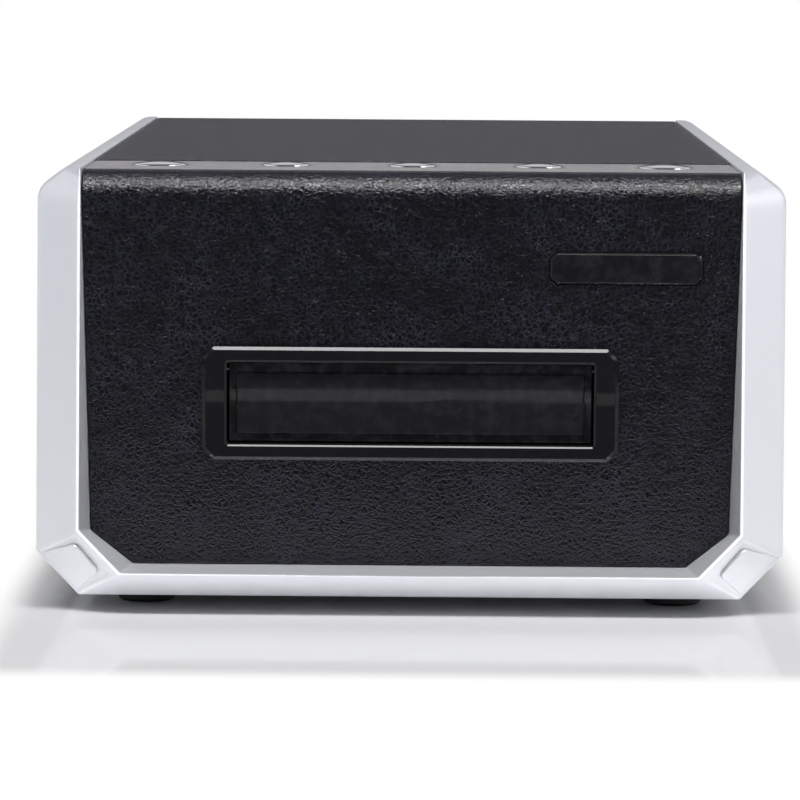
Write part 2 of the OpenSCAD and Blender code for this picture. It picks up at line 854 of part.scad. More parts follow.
module lower_guide() {
    color(leather_black) {
        guide_plate(channel_low_z - guide_t);
        both_sides() block([channel_w / 2, guide_y, channel_low_z - fuse],
                           [channel_w / 2 + rail_t, guide_end_y, channel_high_z]);
    }
}

module upper_guide() {
    color(leather_black) guide_plate(channel_high_z);
}

// ---- Feed and pinch shafts ----

shaft_end = 1.4;
left_end_x = -frame_x - frame_t - shaft_end;
clip_groove = 0.4;
clip_in = 1;

module roller_shaft(spot, right_x) {
    difference() {
        x_rod(spot, shaft_d / 2, left_end_x, right_x);
        translate([left_end_x + clip_in - clip_groove, spot[0], spot[1]]) rotate([0, 90, 0])
            rotate_extrude() translate([shaft_d / 2 - 0.3, 0]) square([over, clip_groove]);
    }
}

module roller_pair(spot, r) {
    rim_t = 1.5;
    hollow_d = 1;
    for (x = [-roller_x, roller_x]) difference() {
        x_rod(spot, r, x - roller_w / 2, x + roller_w / 2);
        x_rod(spot, shaft_d / 2, x - roller_w, x + roller_w);
        for (side = [-1, 1]) translate([x + side * roller_w / 2, spot[0], spot[1]]) rotate([0, 90, 0])
            difference() {
                cylinder(r = r - rim_t, h = 2 * hollow_d, center = true);
                cylinder(r = core_r, h = 3 * hollow_d, center = true);
            }
    }
}

module feed_gear(spot, phase) {
    hub_r = shaft_d / 2 + 1.8;
    hole_r = 1.7;
    difference() {
        union() {
            spur_gear(spot, feed_teeth, feed_module, phase, gear_x, gear_x + gear_w);
            x_rod(spot, hub_r, gear_x - 0.6, gear_x + gear_w);
        }
        x_rod(spot, shaft_d / 2, gear_x - over, gear_x + gear_w + over);
        for (a = [0:60:300])
            x_rod(spot + 0.62 * feed_r * [cos(a), sin(a)], hole_r, gear_x - over, gear_x + gear_w + over);
    }
}

module front_feed_shaft() { color(steel) roller_shaft(front_feed, large_x + fuse); }
module rear_feed_shaft() { color(steel) roller_shaft(rear_feed, large_x + fuse); }
module front_feed_rollers() { color(rubber_black) roller_pair(front_feed, feed_roller_d / 2); }
module rear_feed_rollers() { color(rubber_black) roller_pair(rear_feed, feed_roller_d / 2); }
module front_feed_gear() { color(nylon_white) feed_gear(front_feed, front_feed_phase); }
module rear_feed_gear() { color(nylon_white) feed_gear(rear_feed, rear_feed_phase); }

pinch_end_x = frame_x + frame_t + shaft_end;

module front_pinch_shaft() { color(steel) roller_shaft([front_feed[0], pinch_z], pinch_end_x); }
module rear_pinch_shaft() { color(steel) roller_shaft([rear_feed[0], pinch_z], pinch_end_x); }

module front_pinch_rollers() {
    color(rubber_black) roller_pair([front_feed[0], pinch_z], pinch_roller_d / 2);
}

module rear_pinch_rollers() {
    color(rubber_black) roller_pair([rear_feed[0], pinch_z], pinch_roller_d / 2);
}

// Flanged sleeve pressed into each side frame
module shaft_bushes() {
    spots = [front_feed, rear_feed, [front_feed[0], pinch_z], [rear_feed[0], pinch_z]];
    color(brass) for (s = spots) both_sides() difference() {
        union() {
            x_rod(s, bush_r, frame_x - bush_len + frame_t, frame_x + frame_t);
            x_rod(s, bush_flange_r, frame_x - 1, frame_x);
        }
        x_rod(s, shaft_d / 2 + run_gap, frame_x - bush_len, frame_x + bush_len);
    }
}

// Bent leaf over each end of the pinch shafts, held down under the upper guide's edge
module pinch_springs() {
    leaf_t = 0.4;
    leaf_w = 3;
    crest_z = pinch_z + shaft_d / 2 + 0.05;
    leaf_x = roller_x + roller_w / 2 + 0.5;
    foot_z = channel_high_z + guide_t;
    lower_line = [[-16, foot_z], [-10, foot_z], [-3, crest_z], [3, crest_z], [10, foot_z], [16, foot_z]];
    upper_line = [for (i = [len(lower_line) - 1:-1:0]) lower_line[i] + [0, leaf_t]];
    color(steel) for (y = [front_feed[0], rear_feed[0]]) both_sides()
        yz_prism(leaf_x, leaf_x + leaf_w) translate([y, 0]) polygon(concat(lower_line, upper_line));
}

// ---- Gear train and motor ----

stud_end_x = large_x + large_w + shaft_end;

module gear_studs() {
    ends = [[idler, gear_x + gear_w + shaft_end], [compound, stud_end_x]];
    color(steel) for (e = ends) {
        difference() {
            x_rod(e[0], stud_r, frame_x, e[1]);
            translate([e[1] - clip_in, e[0][0], e[0][1]]) rotate([0, 90, 0])
                rotate_extrude() translate([stud_r - 0.35, 0]) square([over, clip_groove]);
        }
        x_rod(e[0], stud_r + 1.5, frame_x + frame_t, gear_x - seam_gap);
    }
}

module idler_gear() {
    web_cut = 1.2;
    hole_r = 2.6;
    color(nylon_white) difference() {
        spur_gear(idler, idler_teeth, feed_module, idler_phase, gear_x, gear_x + gear_w);
        x_rod(idler, stud_r + run_gap, gear_x - over, gear_x + gear_w + over);
        for (side = [0, 1]) translate([gear_x + side * gear_w, idler[0], idler[1]]) rotate([0, 90, 0])
            difference() {
                cylinder(r = idler_r - 2.6, h = 2 * web_cut, center = true);
                cylinder(r = stud_r + 2, h = 3 * web_cut, center = true);
            }
        for (a = [0:60:300])
            x_rod(idler + 0.52 * idler_r * [cos(a), sin(a)], hole_r, gear_x - over, gear_x + gear_w + over);
    }
}

module compound_gear() {
    hole_r = 1.6;
    end_x = large_x + large_w;
    color(nylon_white) difference() {
        union() {
            spur_gear(compound, small_teeth, feed_module, small_phase, gear_x, large_x + fuse);
            spur_gear(compound, large_teeth, motor_module, large_phase, large_x + 0.4, end_x);
            x_rod(compound, small_r - 1.2, large_x, large_x + 0.5);
        }
        x_rod(compound, stud_r + run_gap, gear_x - over, end_x + over);
        for (a = [30:60:330])
            x_rod(compound + 0.66 * large_r * [cos(a), sin(a)], hole_r, large_x + 0.2, end_x + over);
    }
}

module motor_pinion() {
    color(brass) difference() {
        spur_gear(motor, pinion_teeth, motor_module, pinion_phase, pinion_x, pinion_x + pinion_w);
        x_rod(motor, motor_shaft_r, pinion_x - over, pinion_x + pinion_w + over);
    }
}

module motor_shaft() {
    color(steel) x_rod(motor, motor_shaft_r, pinion_x, bracket_x + motor_len - 2);
}

module feed_motor() {
    can_x = bracket_x + bracket_t;
    can_end_x = can_x + motor_len;
    cap_h = 0.8;
    ear_t = 1;
    color(steel) difference() {
        union() {
            x_rod(motor, motor_d / 2, can_x, can_end_x);
            x_rod(motor, motor_d / 2 - 4, can_end_x - fuse, can_end_x + cap_h);
            yz_prism(can_x, can_x + ear_t) translate(motor) difference() {
                union() {
                    square([2 * ear_span, 2 * ear_r], center = true);
                    for (s = [-1, 1]) translate([s * ear_span, 0]) circle(ear_r);
                }
                for (s = [-1, 1]) translate([s * ear_span, 0]) circle(screw_r + fuse);
            }
            x_rod(motor, motor_nose_r, can_x - motor_nose_h, can_x + fuse);
        }
        x_rod(motor, motor_shaft_r + run_gap, can_x - motor_nose_h - over, can_end_x - 2);
    }
}

module motor_bracket() {
    foot_w = 12;
    edge_w = 8;
    end_x = bracket_x + bracket_t;
    front_edge = motor[0] - motor_d / 2 - edge_w;
    rear_edge = motor[0] + motor_d / 2 + edge_w;
    color(steel) {
        difference() {
            block([bracket_x, front_edge, deck_z], [end_x, rear_edge, motor[1] + 14]);
            x_rod(motor, motor_nose_r + 0.2, bracket_x - over, end_x + over);
            for (s = [-1, 1]) x_rod(motor + [s * ear_span, 0], 1.3, bracket_x - over, end_x + over);
            x_rod(compound, stud_r + 2, bracket_x - over, end_x + over);
        }
        difference() {
            block([bracket_x, front_edge, deck_z], [bracket_x + foot_w, rear_edge, deck_z + bracket_t]);
            for (y = [front_edge + 5, rear_edge - 5])
                translate([bracket_x + 7, y, deck_z - over])
                    cylinder(r = screw_r + screw_gap, h = bracket_t + 2 * over);
        }
    }
}

// ---- Lamp and optics ----

lamp_half_w = frame_x - 10;
lamp_half_d = 11;
lamp_h = 16;
lamp_wall = 2;
lamp_inner_d = lamp_half_d - lamp_wall;
lamp_seat_z = channel_high_z + guide_t;

module lamp_housing() {
    roof_t = 4;
    color(leather_black) difference() {
        block([-lamp_half_w, scan_y - lamp_half_d, lamp_seat_z],
              [lamp_half_w, scan_y + lamp_half_d, lamp_seat_z + lamp_h]);
        block([-lamp_half_w + lamp_wall, scan_y - lamp_inner_d, lamp_seat_z - over],
              [lamp_half_w - lamp_wall, scan_y + lamp_inner_d, lamp_seat_z + lamp_h - roof_t]);
        for (x = [-24:8:24]) translate([x, scan_y, lamp_seat_z + lamp_h - roof_t - over])
            linear_extrude(roof_t + 2 * over) round_rect(3, 12, 1.4);
    }
}

module lamp_board() {
    low_z = lamp_seat_z + 10;
    led_w = 2.4;
    half_d = lamp_inner_d - 2 * slip_gap;
    half_x = lamp_half_w - lamp_wall - 2 * slip_gap;
    color(board_green) block([-half_x, scan_y - half_d, low_z], [half_x, scan_y + half_d, low_z + 1.2]);
    color(nylon_white) for (x = [-20:5:20])
        block([x - led_w / 2, scan_y - led_w / 2, low_z - 0.8], [x + led_w / 2, scan_y + led_w / 2, low_z]);
}

module lamp_diffuser() {
    half_d = lamp_inner_d - 2 * slip_gap;
    half_x = scan_slot_w / 2 + 5;
    low_z = lamp_seat_z + slip_gap;
    color(nylon_white) block([-half_x, scan_y - half_d, low_z], [half_x, scan_y + half_d, low_z + 2]);
}

module optics_bench() {
    seat_z = deck_z + bench_t;
    low_z = seat_z - fuse;
    bench_x = 38;
    cheek_x = mirror_w / 2 + 0.2;
    cheek_t = 2.2;
    saddle_half = 10;
    color(leather_black) difference() {
        union() {
            block([-bench_x, scan_y - 16, deck_z], [bench_x, sensor_y + 10, seat_z]);
            both_sides() yz_prism(cheek_x, cheek_x + cheek_t) translate([scan_y, low_z])
                polygon([[-12, 0], [14, 0], [14, 3], [-2, 21], [-12, 21]]);
            both_sides() block([cheek_x - 3.2, scan_y - 13, low_z],
                               [cheek_x + fuse, scan_y - 11, seat_z + 18]);
            block([-lens_r, lens_y - saddle_half, low_z],
                  [lens_r, lens_y + saddle_half, axis_z - lens_r + saddle_rise]);
            both_sides() block([26, sensor_y + board_t, low_z], [34, sensor_y + 5, seat_z + 16]);
        }
        y_rod([0, axis_z], lens_r + seat_gap, lens_y - lens_len, lens_y + lens_len);
        both_sides() translate([bench_x - 5, scan_y + 60, deck_z - over])
            cylinder(r = screw_r + screw_gap, h = bench_t + 2 * over);
    }
}

// First-surface mirror at 45 degrees under the scan slot
module fold_mirror() {
    color(chrome) translate([0, scan_y, axis_z]) rotate([-45, 0, 0])
        translate([-mirror_w / 2, -mirror_len / 2, -mirror_t]) cube([mirror_w, mirror_len, mirror_t]);
}

module lens_barrel() {
    low_y = lens_y - lens_len / 2;
    high_y = lens_y + lens_len / 2;
    color(gloss_black) difference() {
        y_rod([0, axis_z], lens_r, low_y, high_y);
        y_rod([0, axis_z], lens_r - lens_wall, low_y - over, high_y + over);
        for (y = [low_y + 3, high_y - 4]) translate([0, y + 1, axis_z]) rotate([90, 0, 0])
            rotate_extrude() translate([lens_r - 0.5, 0]) square(over);
    }
}

module lens_glass() {
    glass_t = 3;
    ends = [lens_y - lens_len / 2 + glass_t, lens_y + lens_len / 2 - 2 * glass_t];
    color(glass_blue) for (y = ends) intersection() {
        y_rod([0, axis_z], lens_r - lens_wall, y, y + glass_t);
        translate([0, y + glass_t / 2, axis_z]) sphere(lens_r - lens_wall + 0.2);
    }
}

module lens_clamp() {
    foot_z = axis_z - lens_r + saddle_rise;
    band_half = 4;
    outer_r = lens_r + 1;
    color(steel) xz_prism(lens_y - band_half, lens_y + band_half) difference() {
        union() {
            translate([0, axis_z]) circle(outer_r);
            translate([-outer_r, foot_z]) square([2 * outer_r, axis_z - foot_z]);
        }
        translate([0, axis_z]) circle(lens_r + seat_gap);
        translate([-lens_r, foot_z]) square([2 * lens_r, axis_z - foot_z]);
        translate([-outer_r - over, foot_z - 2 * outer_r]) square([2 * (outer_r + over), 2 * outer_r]);
    }
}

module sensor_board() {
    half_x = 35;
    color(board_green) block([-half_x, sensor_y, deck_z + bench_t + slip_gap],
                             [half_x, sensor_y + board_t, axis_z + 14]);
}

module line_sensor() {
    sensor_t = 3;
    half_x = 28;
    window_x = 24;
    color(gloss_black) difference() {
        block([-half_x, sensor_y - sensor_t, axis_z - 4.5], [half_x, sensor_y, axis_z + 4.5]);
        block([-window_x, sensor_y - sensor_t - over, axis_z - 2],
              [window_x, sensor_y - sensor_t + 0.6, axis_z + 2]);
    }
}

// ---- Electronics ----

board_hole_x = board_w / 2 - 5;
board_holes_y = [board_y + 6, board_y + board_d - 14];

module board_tray() {
    tray_x = board_w / 2;
    color(steel) difference() {
        union() {
            translate([0, (tray_y + frame_end_y) / 2, frame_top_z]) linear_extrude(tray_t)
                round_rect(2 * tray_x, frame_end_y - tray_y, 3);
            for (x = [-board_hole_x, board_hole_x], y = board_holes_y)
                translate([x, y, frame_top_z + tray_t - fuse]) cylinder(r = 3, h = standoff_h + fuse);
        }
        for (x = [-board_hole_x, board_hole_x], y = board_holes_y)
            translate([x, y, frame_top_z + tray_t + 0.8]) cylinder(r = pilot_r, h = standoff_h);
    }
}

module main_board() {
    color(board_green) difference() {
        block([-board_w / 2, board_y, board_z], [board_w / 2, board_y + board_d, board_z + board_t]);
        for (x = [-board_hole_x, board_hole_x], y = board_holes_y)
            translate([x, y, board_z - over])
                cylinder(r = screw_r + screw_gap, h = board_t + 2 * over);
    }
}

// Chips, electrolytic cans and pin headers on the main board
module board_parts() {
    z = board_z + board_t;
    chip_h = 1.5;
    chips = [[[-12, 40], [24, 24]], [[28, 34], [14, 20]], [[28, 62], [10, 12]]];
    can_r = 4;
    can_h = 9;
    header_h = 5.5;
    color(gloss_black) for (c = chips)
        translate([c[0][0], board_y + c[0][1], z]) linear_extrude(chip_h) round_rect(c[1][0], c[1][1], 0.6);
    color(steel) for (k = [0:3])
        translate([48, board_y + 44 + 11 * k, z]) cylinder(r = can_r, h = can_h);
    color(nylon_white) for (x = [-50, -26, 4])
        translate([x, board_y + 8, z]) linear_extrude(header_h) difference() {
            round_rect(18, 6, 0.5);
            translate([0, 0.8]) round_rect(15.6, 2.4, 0.3);
        }
}

module usb_socket() {
    low_z = board_z + board_t;
    half_x = usb_w / 2;
    sheet_t = 0.8;
    floor_y = socket_y - usb_d + 4;
    color(steel) difference() {
        block([usb_x - half_x, socket_y - usb_d, low_z], [usb_x + half_x, mouth_y, low_z + usb_h]);
        block([usb_x - half_x + sheet_t, floor_y, low_z + sheet_t],
              [usb_x + half_x - sheet_t, mouth_y + over, low_z + usb_h - sheet_t]);
    }
    color(gloss_black)
        block([usb_x - 2.8, floor_y - fuse, low_z + 7], [usb_x + 2.8, socket_y - 2, low_z + 9.4]);
}

module dc_socket() {
    low_z = board_z + board_t;
    mouth = [dc_x, low_z + 6];
    floor_y = socket_y - 8;
    color(gloss_black) difference() {
        block([dc_x - dc_w / 2, socket_y - dc_d, low_z], [dc_x + dc_w / 2, mouth_y, low_z + dc_h]);
        y_rod(mouth, dc_hole_r, floor_y, mouth_y + over);
    }
    color(steel) y_rod(mouth, dc_pin_r, floor_y - fuse, socket_y);
}

// ---- Back ----

module back_panel() {
    panel_half = half_w - wall - 0.4;
    high_z = cover_z - wall - seam_gap;
    rim_y = panel_back_y - rear_rim;
    socket_z = board_z + board_t;
    shell_return_z = body_h - wall - 1.3;
    slot_mid_z = rear_slot_low_z + rear_slot_h / 2;
    socket_gap = 0.4;
    color(leather_black) difference() {
        union() {
            xz_prism(panel_back_y - back_t, panel_back_y) full_outline([
                [in_x - 0.4, high_z], [in_x - 0.4, shell_return_z], [half_w - wall - 5, shell_return_z],
                [panel_half, body_h - 10],
                [panel_half, bottom_z + corner_cut + 2.4], [half_w - corner_cut - 1.6, floor_z + 0.3]
            ]);
            xz_prism(rim_y, panel_back_y - 0.1) translate([0, slot_mid_z])
                square([rear_slot_w + 2 * rear_rim_t, rear_slot_h + 2 * rear_rim_t], center = true);
            for (s = back_screw_spots) y_rod(s, 3.4, panel_back_y - back_t - 6, panel_back_y - over);
        }
        xz_prism(rim_y - over, panel_back_y + over) translate([0, slot_mid_z])
            square([rear_slot_w, rear_slot_h], center = true);
        x_rod([rear_hinge_y, rear_hinge_z], rear_trunnion_r + run_gap,
              -rear_slot_w / 2 - rear_rim_t - over, rear_slot_w / 2 + rear_rim_t + over);
        for (s = [[usb_x, usb_w, usb_h], [dc_x, dc_w, dc_h]])
            block([s[0] - s[1] / 2 - socket_gap, panel_back_y - back_t - over, socket_z - socket_gap],
                  [s[0] + s[1] / 2 + socket_gap, panel_back_y + over, socket_z + s[2] + socket_gap]);
        for (x = [-20:5:20]) xz_prism(panel_back_y - back_t - over, panel_back_y + over)
            translate([x, floor_z + 14]) round_rect(2.4, 16, 1.1);
        for (s = back_screw_spots) y_rod(s, screw_r + fuse, panel_back_y - 12, panel_back_y + over);
    }
}

module rear_flap() {
    half = rear_slot_w / 2 - flap_gap;
    low_z = rear_slot_low_z + flap_gap;
    face_y = rear_hinge_y + rear_flap_t / 2;
    trunnion_len = 1.6;
    lip_x = 9;
    lip_h = 1.6;
    lip_out = 0.7;
    color(gloss_black) {
        block([-half, face_y - rear_flap_t, low_z], [half, face_y, rear_hinge_z + rear_flap_t / 2]);
        x_rod([rear_hinge_y, rear_hinge_z], rear_trunnion_r, -half - trunnion_len, half + trunnion_len);
        block([-lip_x, face_y - fuse, low_z], [lip_x, face_y + lip_out, low_z + lip_h]);
    }
}

// Pan-head screws: chassis to shell, board to tray, back panel to its bosses
module case_screws() {
    color(steel) {
        for (s = boss_spots) translate([s[0], s[1], deck_z]) pan_screw(4);
        for (x = [-board_hole_x, board_hole_x], y = board_holes_y)
            translate([x, y, board_z + board_t]) pan_screw(5);
        for (s = back_screw_spots)
            translate([s[0], panel_back_y, s[1]]) rotate([-90, 0, 0]) pan_screw(7);
    }
}

outer_shell();
corner_caps();
front_panel();
top_cover();
back_panel();
button_strip();
power_button();
load_button();
scan_button();
preset_button();
eject_button();
button_board();
button_switches();
window_bezel();
flap_door();
flap_pin();
flap_spring();
blank_plate();
chassis_plate();
left_side_frame();
right_side_frame();
lower_guide();
upper_guide();
front_feed_shaft();
front_feed_rollers();
front_feed_gear();
rear_feed_shaft();
rear_feed_rollers();
rear_feed_gear();
idler_gear();
compound_gear();
gear_studs();
motor_pinion();
motor_shaft();
feed_motor();
motor_bracket();
shaft_bushes();
front_pinch_shaft();
front_pinch_rollers();
rear_pinch_shaft();
rear_pinch_rollers();
pinch_springs();
lamp_housing();
lamp_board();
lamp_diffuser();
optics_bench();
fold_mirror();
lens_barrel();
lens_glass();
lens_clamp();
sensor_board();
line_sensor();
board_tray();
main_board();
board_parts();
usb_socket();
dc_socket();
rear_flap();
rubber_feet();
case_screws();
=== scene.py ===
import json
import math

import bmesh
import bpy
from mathutils import Matrix, Vector


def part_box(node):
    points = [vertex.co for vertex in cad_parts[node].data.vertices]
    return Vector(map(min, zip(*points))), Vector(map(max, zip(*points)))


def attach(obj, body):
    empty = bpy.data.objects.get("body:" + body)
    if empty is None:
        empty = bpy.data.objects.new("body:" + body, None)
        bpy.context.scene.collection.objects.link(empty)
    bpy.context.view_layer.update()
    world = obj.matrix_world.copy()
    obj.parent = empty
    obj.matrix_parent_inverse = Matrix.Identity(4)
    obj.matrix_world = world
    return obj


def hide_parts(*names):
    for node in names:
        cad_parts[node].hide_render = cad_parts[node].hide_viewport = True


bl_info = {
    "name": "Film scanner",
    "version": (1, 0, 0),
    "blender": (4, 5, 0),
    "location": "3D View > Sidebar > Scanner",
    "description": "Builds the covers, buttons, film window and finishes of a desktop film scanner",
    "category": "Object",
}

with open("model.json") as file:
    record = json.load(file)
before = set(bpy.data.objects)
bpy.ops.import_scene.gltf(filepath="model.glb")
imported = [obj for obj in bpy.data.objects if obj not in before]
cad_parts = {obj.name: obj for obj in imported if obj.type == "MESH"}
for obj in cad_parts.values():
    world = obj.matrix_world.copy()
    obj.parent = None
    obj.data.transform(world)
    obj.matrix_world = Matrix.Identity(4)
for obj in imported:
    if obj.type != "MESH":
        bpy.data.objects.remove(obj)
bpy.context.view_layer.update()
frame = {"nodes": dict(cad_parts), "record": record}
MM = 0.001

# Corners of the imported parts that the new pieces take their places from
SHELL_LOW, SHELL_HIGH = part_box("outer_shell")
PANEL_LOW, PANEL_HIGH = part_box("front_panel")
COVER_LOW, COVER_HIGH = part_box("top_cover")
STRIP_LOW, STRIP_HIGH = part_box("button_strip")
BEZEL_LOW, BEZEL_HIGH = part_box("window_bezel")
FLAP_LOW, FLAP_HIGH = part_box("flap_door")
PIN_LOW, PIN_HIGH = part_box("flap_pin")
PLATE_LOW, PLATE_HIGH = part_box("blank_plate")
FEET_LOW, FEET_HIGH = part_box("rubber_feet")

HALF_W = SHELL_HIGH.x
BACK_Y = SHELL_HIGH.y
TOP_Z = SHELL_HIGH.z
BOTTOM_Z = SHELL_LOW.z
BUTTONS = ("power", "load", "scan", "preset", "eject")
UP = Vector((0, 0, 1))


# ---- Sizes and colours that a user may change ----

def length(name, description, millimetres):
    """A length in metres, given in millimetres"""
    return bpy.props.FloatProperty(
        name=name, description=description, default=millimetres * MM, unit="LENGTH")


def tint(name, description, rgb):
    """A linear colour"""
    return bpy.props.FloatVectorProperty(
        name=name, description=description, default=rgb, size=3, min=0, max=1, subtype="COLOR")


def fraction(name, description, value):
    """A number from 0 to 1"""
    return bpy.props.FloatProperty(
        name=name, description=description, default=value, min=0, max=1, subtype="FACTOR")


def turn_angle(name, description, degrees):
    """An angle, given in degrees"""
    return bpy.props.FloatProperty(
        name=name, description=description, default=math.radians(degrees), subtype="ANGLE")


def lamp_power(name, description, watts):
    """A lamp's power"""
    return bpy.props.FloatProperty(name=name, description=description, default=watts, unit="POWER")


class ScannerSizes(bpy.types.PropertyGroup):
    """Sizes of the moulded covers"""
    seam: length("Seam", "Gap where two covers meet", 0.25)
    wall: length("Wall", "Wall of the moulded covers", 2.5)
    lean: length("Lean", "How far the shell's front ridge falls back from its foot to the top", 8.5)
    bevel: length("Bevel depth", "Depth of the outer bevel behind the ridge", 7)
    land: length("Ridge land", "Flat land along the front ridge", 0.55)
    corner: length("Corner cut", "Cut of the two lower corners", 10)
    side_round: length("Side rounding", "Rounding where the outer bevel turns into the side", 1.3)
    foot_round: length("Foot rounding", "Rounding where the outer bevel turns under the body", 0.9)
    ridge_round: length("Ridge rounding", "Rounding along the front ridge", 0.25)
    back_round: length("Back rounding", "Rounding of the shell's back edge", 0.8)
    corner_round: length("Corner rounding", "Rounding of the outline's corners", 0.45)
    shoulder: length("Shoulder", "Fall of the shoulder's chamfer beside the top", 5.2)
    roll: length("Front roll", "Radius of the rolled top edge of the front", 6.5)
    cap_dish: length("Dish", "Width of the dished ring round each button", 1.3)
    throat: length("Throat wall", "Wall of the film window's throat", 1.8)


class ScannerFinishes(bpy.types.PropertyGroup):
    """Colours and grain of the finishes"""
    silver: tint("Silver", "Paint of the U shell", (0.645, 0.655, 0.687))
    black: tint("Black", "Grained black skin", (0.0016, 0.0016, 0.0032))
    strip: tint("Strip", "Satin button strip", (0.29, 0.278, 0.282))
    plating: tint("Plating", "Bright plating of the buttons", (0.86, 0.86, 0.84))
    gloss: tint("Gloss black", "Polished black window parts", (0.006, 0.006, 0.007))
    grain: length("Grain", "Size of one pebble of the grained skin", 1.25)
    grain_depth: length("Grain depth", "Depth of the creases in the grained skin", 0.088)


class ScannerStudio(bpy.types.PropertyGroup):
    """Camera and lights"""
    lens: bpy.props.FloatProperty(name="Lens", description="Focal length in millimetres", default=170.9)
    camera_place: bpy.props.FloatVectorProperty(
        name="Camera place", description="Where the camera stands", default=(0.00449, -1.0, 0.15777),
        subtype="TRANSLATION")
    pitch: turn_angle("Pitch", "How far the camera looks down", 6.97)
    yaw: turn_angle("Yaw", "How far the camera looks to the right", -0.448)
    roll: turn_angle("Roll", "How far the camera is tilted", 0.38)
    world: fraction("World light", "Strength of the even light from all round", 0.34)
    room: fraction("Room", "Brightness of the room in front of the object, as gloss shows it", 0.09)
    backdrop: fraction("Backdrop", "Brightness of the backdrop behind the object, as gloss shows it", 0.10)
    skyline: fraction("Skyline", "Brightness of the band above the backdrop, as gloss shows it", 0.68)
    ceiling: fraction("Ceiling", "Brightness of the ceiling, as gloss shows it", 0.4)
    walls: fraction("Side walls", "Brightness of the walls beside the object, as gloss shows them", 0.95)
    top_power: lamp_power("Top lamp", "Power of the strip lamp over the front edge", 16.5)
    side_power: lamp_power("Side lamp", "Power of the right-hand lamp", 2.5)
    low_power: lamp_power("Low lamp", "Power of the narrow lamp on the floor in front", 0.15)


# ---- Mesh helpers ----

def curve_points(start, control, end, steps):
    """Points from start to end on the curve that leaves and meets them towards control"""
    shares = [k / steps for k in range(steps + 1)]
    return [start * (1 - t) ** 2 + control * 2 * t * (1 - t) + end * t * t for t in shares]


def soft_corner(before, corner, after, size, steps=3):
    """Points that round a corner, starting and ending size away from it"""
    start = corner + (before - corner).normalized() * size
    end = corner + (after - corner).normalized() * size
    return curve_points(start, corner, end, steps)


def verts_in(geom):
    """The vertices in an operator's result"""
    return [part for part in geom if isinstance(part, bmesh.types.BMVert)]


def edges_in(geom):
    """The edges in an operator's result"""
    return [part for part in geom if isinstance(part, bmesh.types.BMEdge)]


def all_parts(bm):
    """All vertices, edges and faces of a mesh"""
    return bm.verts[:] + bm.edges[:] + bm.faces[:]


def extrude_rings(bm, rings, closed=False):
    """Skins a surface through rings of points by extruding the last ring to the next one's places"""
    row = [bm.verts.new(point) for point in rings[0]]
    rows = [row]
    for ring in rings[1:]:
        pairs = list(zip(row, row[1:] + row[:1] if closed else row[1:]))
        edges = [bm.edges.get(pair) or bm.edges.new(pair) for pair in pairs]
        fresh = set(verts_in(bmesh.ops.extrude_edge_only(bm, edges=edges)["geom"]))
        row = [next(e.other_vert(v) for e in v.link_edges if e.other_vert(v) in fresh) for v in row]
        for vert, point in zip(row, ring):
            vert.co = point
        rows.append(row)
    return rows


def row_edges(bm, row, closed=False):
    """The edges along a row of vertices"""
    return [bm.edges.get(pair) for pair in zip(row, row[1:] + row[:1] if closed else row[1:])]


def merge(bm):
    """Welds doubles and turns every face outwards"""
    bmesh.ops.remove_doubles(bm, verts=bm.verts, dist=0.002 * MM)
    bmesh.ops.recalc_face_normals(bm, faces=bm.faces)


def mirror_x(bm):
    """Adds the left half to a right half and welds them along the middle"""
    bmesh.ops.mirror(
        bm, geom=all_parts(bm), matrix=Matrix.Identity(4), merge_dist=0.01 * MM, axis="X")


def round_edges(bm, edges, radius, segments=3):
    """Rounds edges of a mesh"""
    bmesh.ops.bevel(
        bm, geom=list(edges), offset=radius, offset_type="OFFSET", segments=segments, profile=0.5,
        affect="EDGES", clamp_overlap=True, material=-1)


def sharp_edges(bm, angle):
    """Edges whose faces meet at more than an angle in degrees"""
    return [e for e in bm.edges if len(e.link_faces) == 2 and e.calc_face_angle(0) > math.radians(angle)]


def slab(low, high, radius=0.0, segments=3):
    """A block between two corners, with rounded edges"""
    bm = bmesh.new()
    bmesh.ops.create_cube(bm, size=1)
    bmesh.ops.scale(bm, vec=high - low, verts=bm.verts)
    bmesh.ops.translate(bm, vec=(high + low) / 2, verts=bm.verts)
    if radius:
        round_edges(bm, bm.edges[:], radius, segments)
    return bm


def turned(profile, centre, axis, steps=64):
    """Spins an outline of [radius, height] points about an axis through a centre"""
    bm = bmesh.new()
    side = axis.orthogonal().normalized()
    verts = [bm.verts.new(centre + side * r + axis * h) for r, h in profile]
    edges = [bm.edges.new(pair) for pair in zip(verts, verts[1:])]
    bmesh.ops.spin(
        bm, geom=verts + edges, cent=centre, axis=axis, dvec=(0, 0, 0), angle=math.tau, steps=steps,
        use_merge=True, use_duplicate=False)
    merge(bm)
    return bm


def join(*parts):
    """One mesh of several"""
    whole = parts[0]
    for part in parts[1:]:
        mesh = bpy.data.meshes.new("part")
        part.to_mesh(mesh)
        part.free()
        whole.from_mesh(mesh)
        bpy.data.meshes.remove(mesh)
    return whole


def cut_rect(width, height, cut):
    """Eight [x, z] points of a rectangle with cut corners, from the right of the bottom edge"""
    w, h = width / 2, height / 2
    corners = [(w - cut, -h), (w, -h + cut), (w, h - cut), (w - cut, h)]
    return corners + [(-x, z) for x, z in reversed(corners)]


def standing(points, y, centre):
    """Points [x, z] about a centre, on a plane that faces the front"""
    return [Vector((centre.x + x, y, centre.z + z)) for x, z in points]


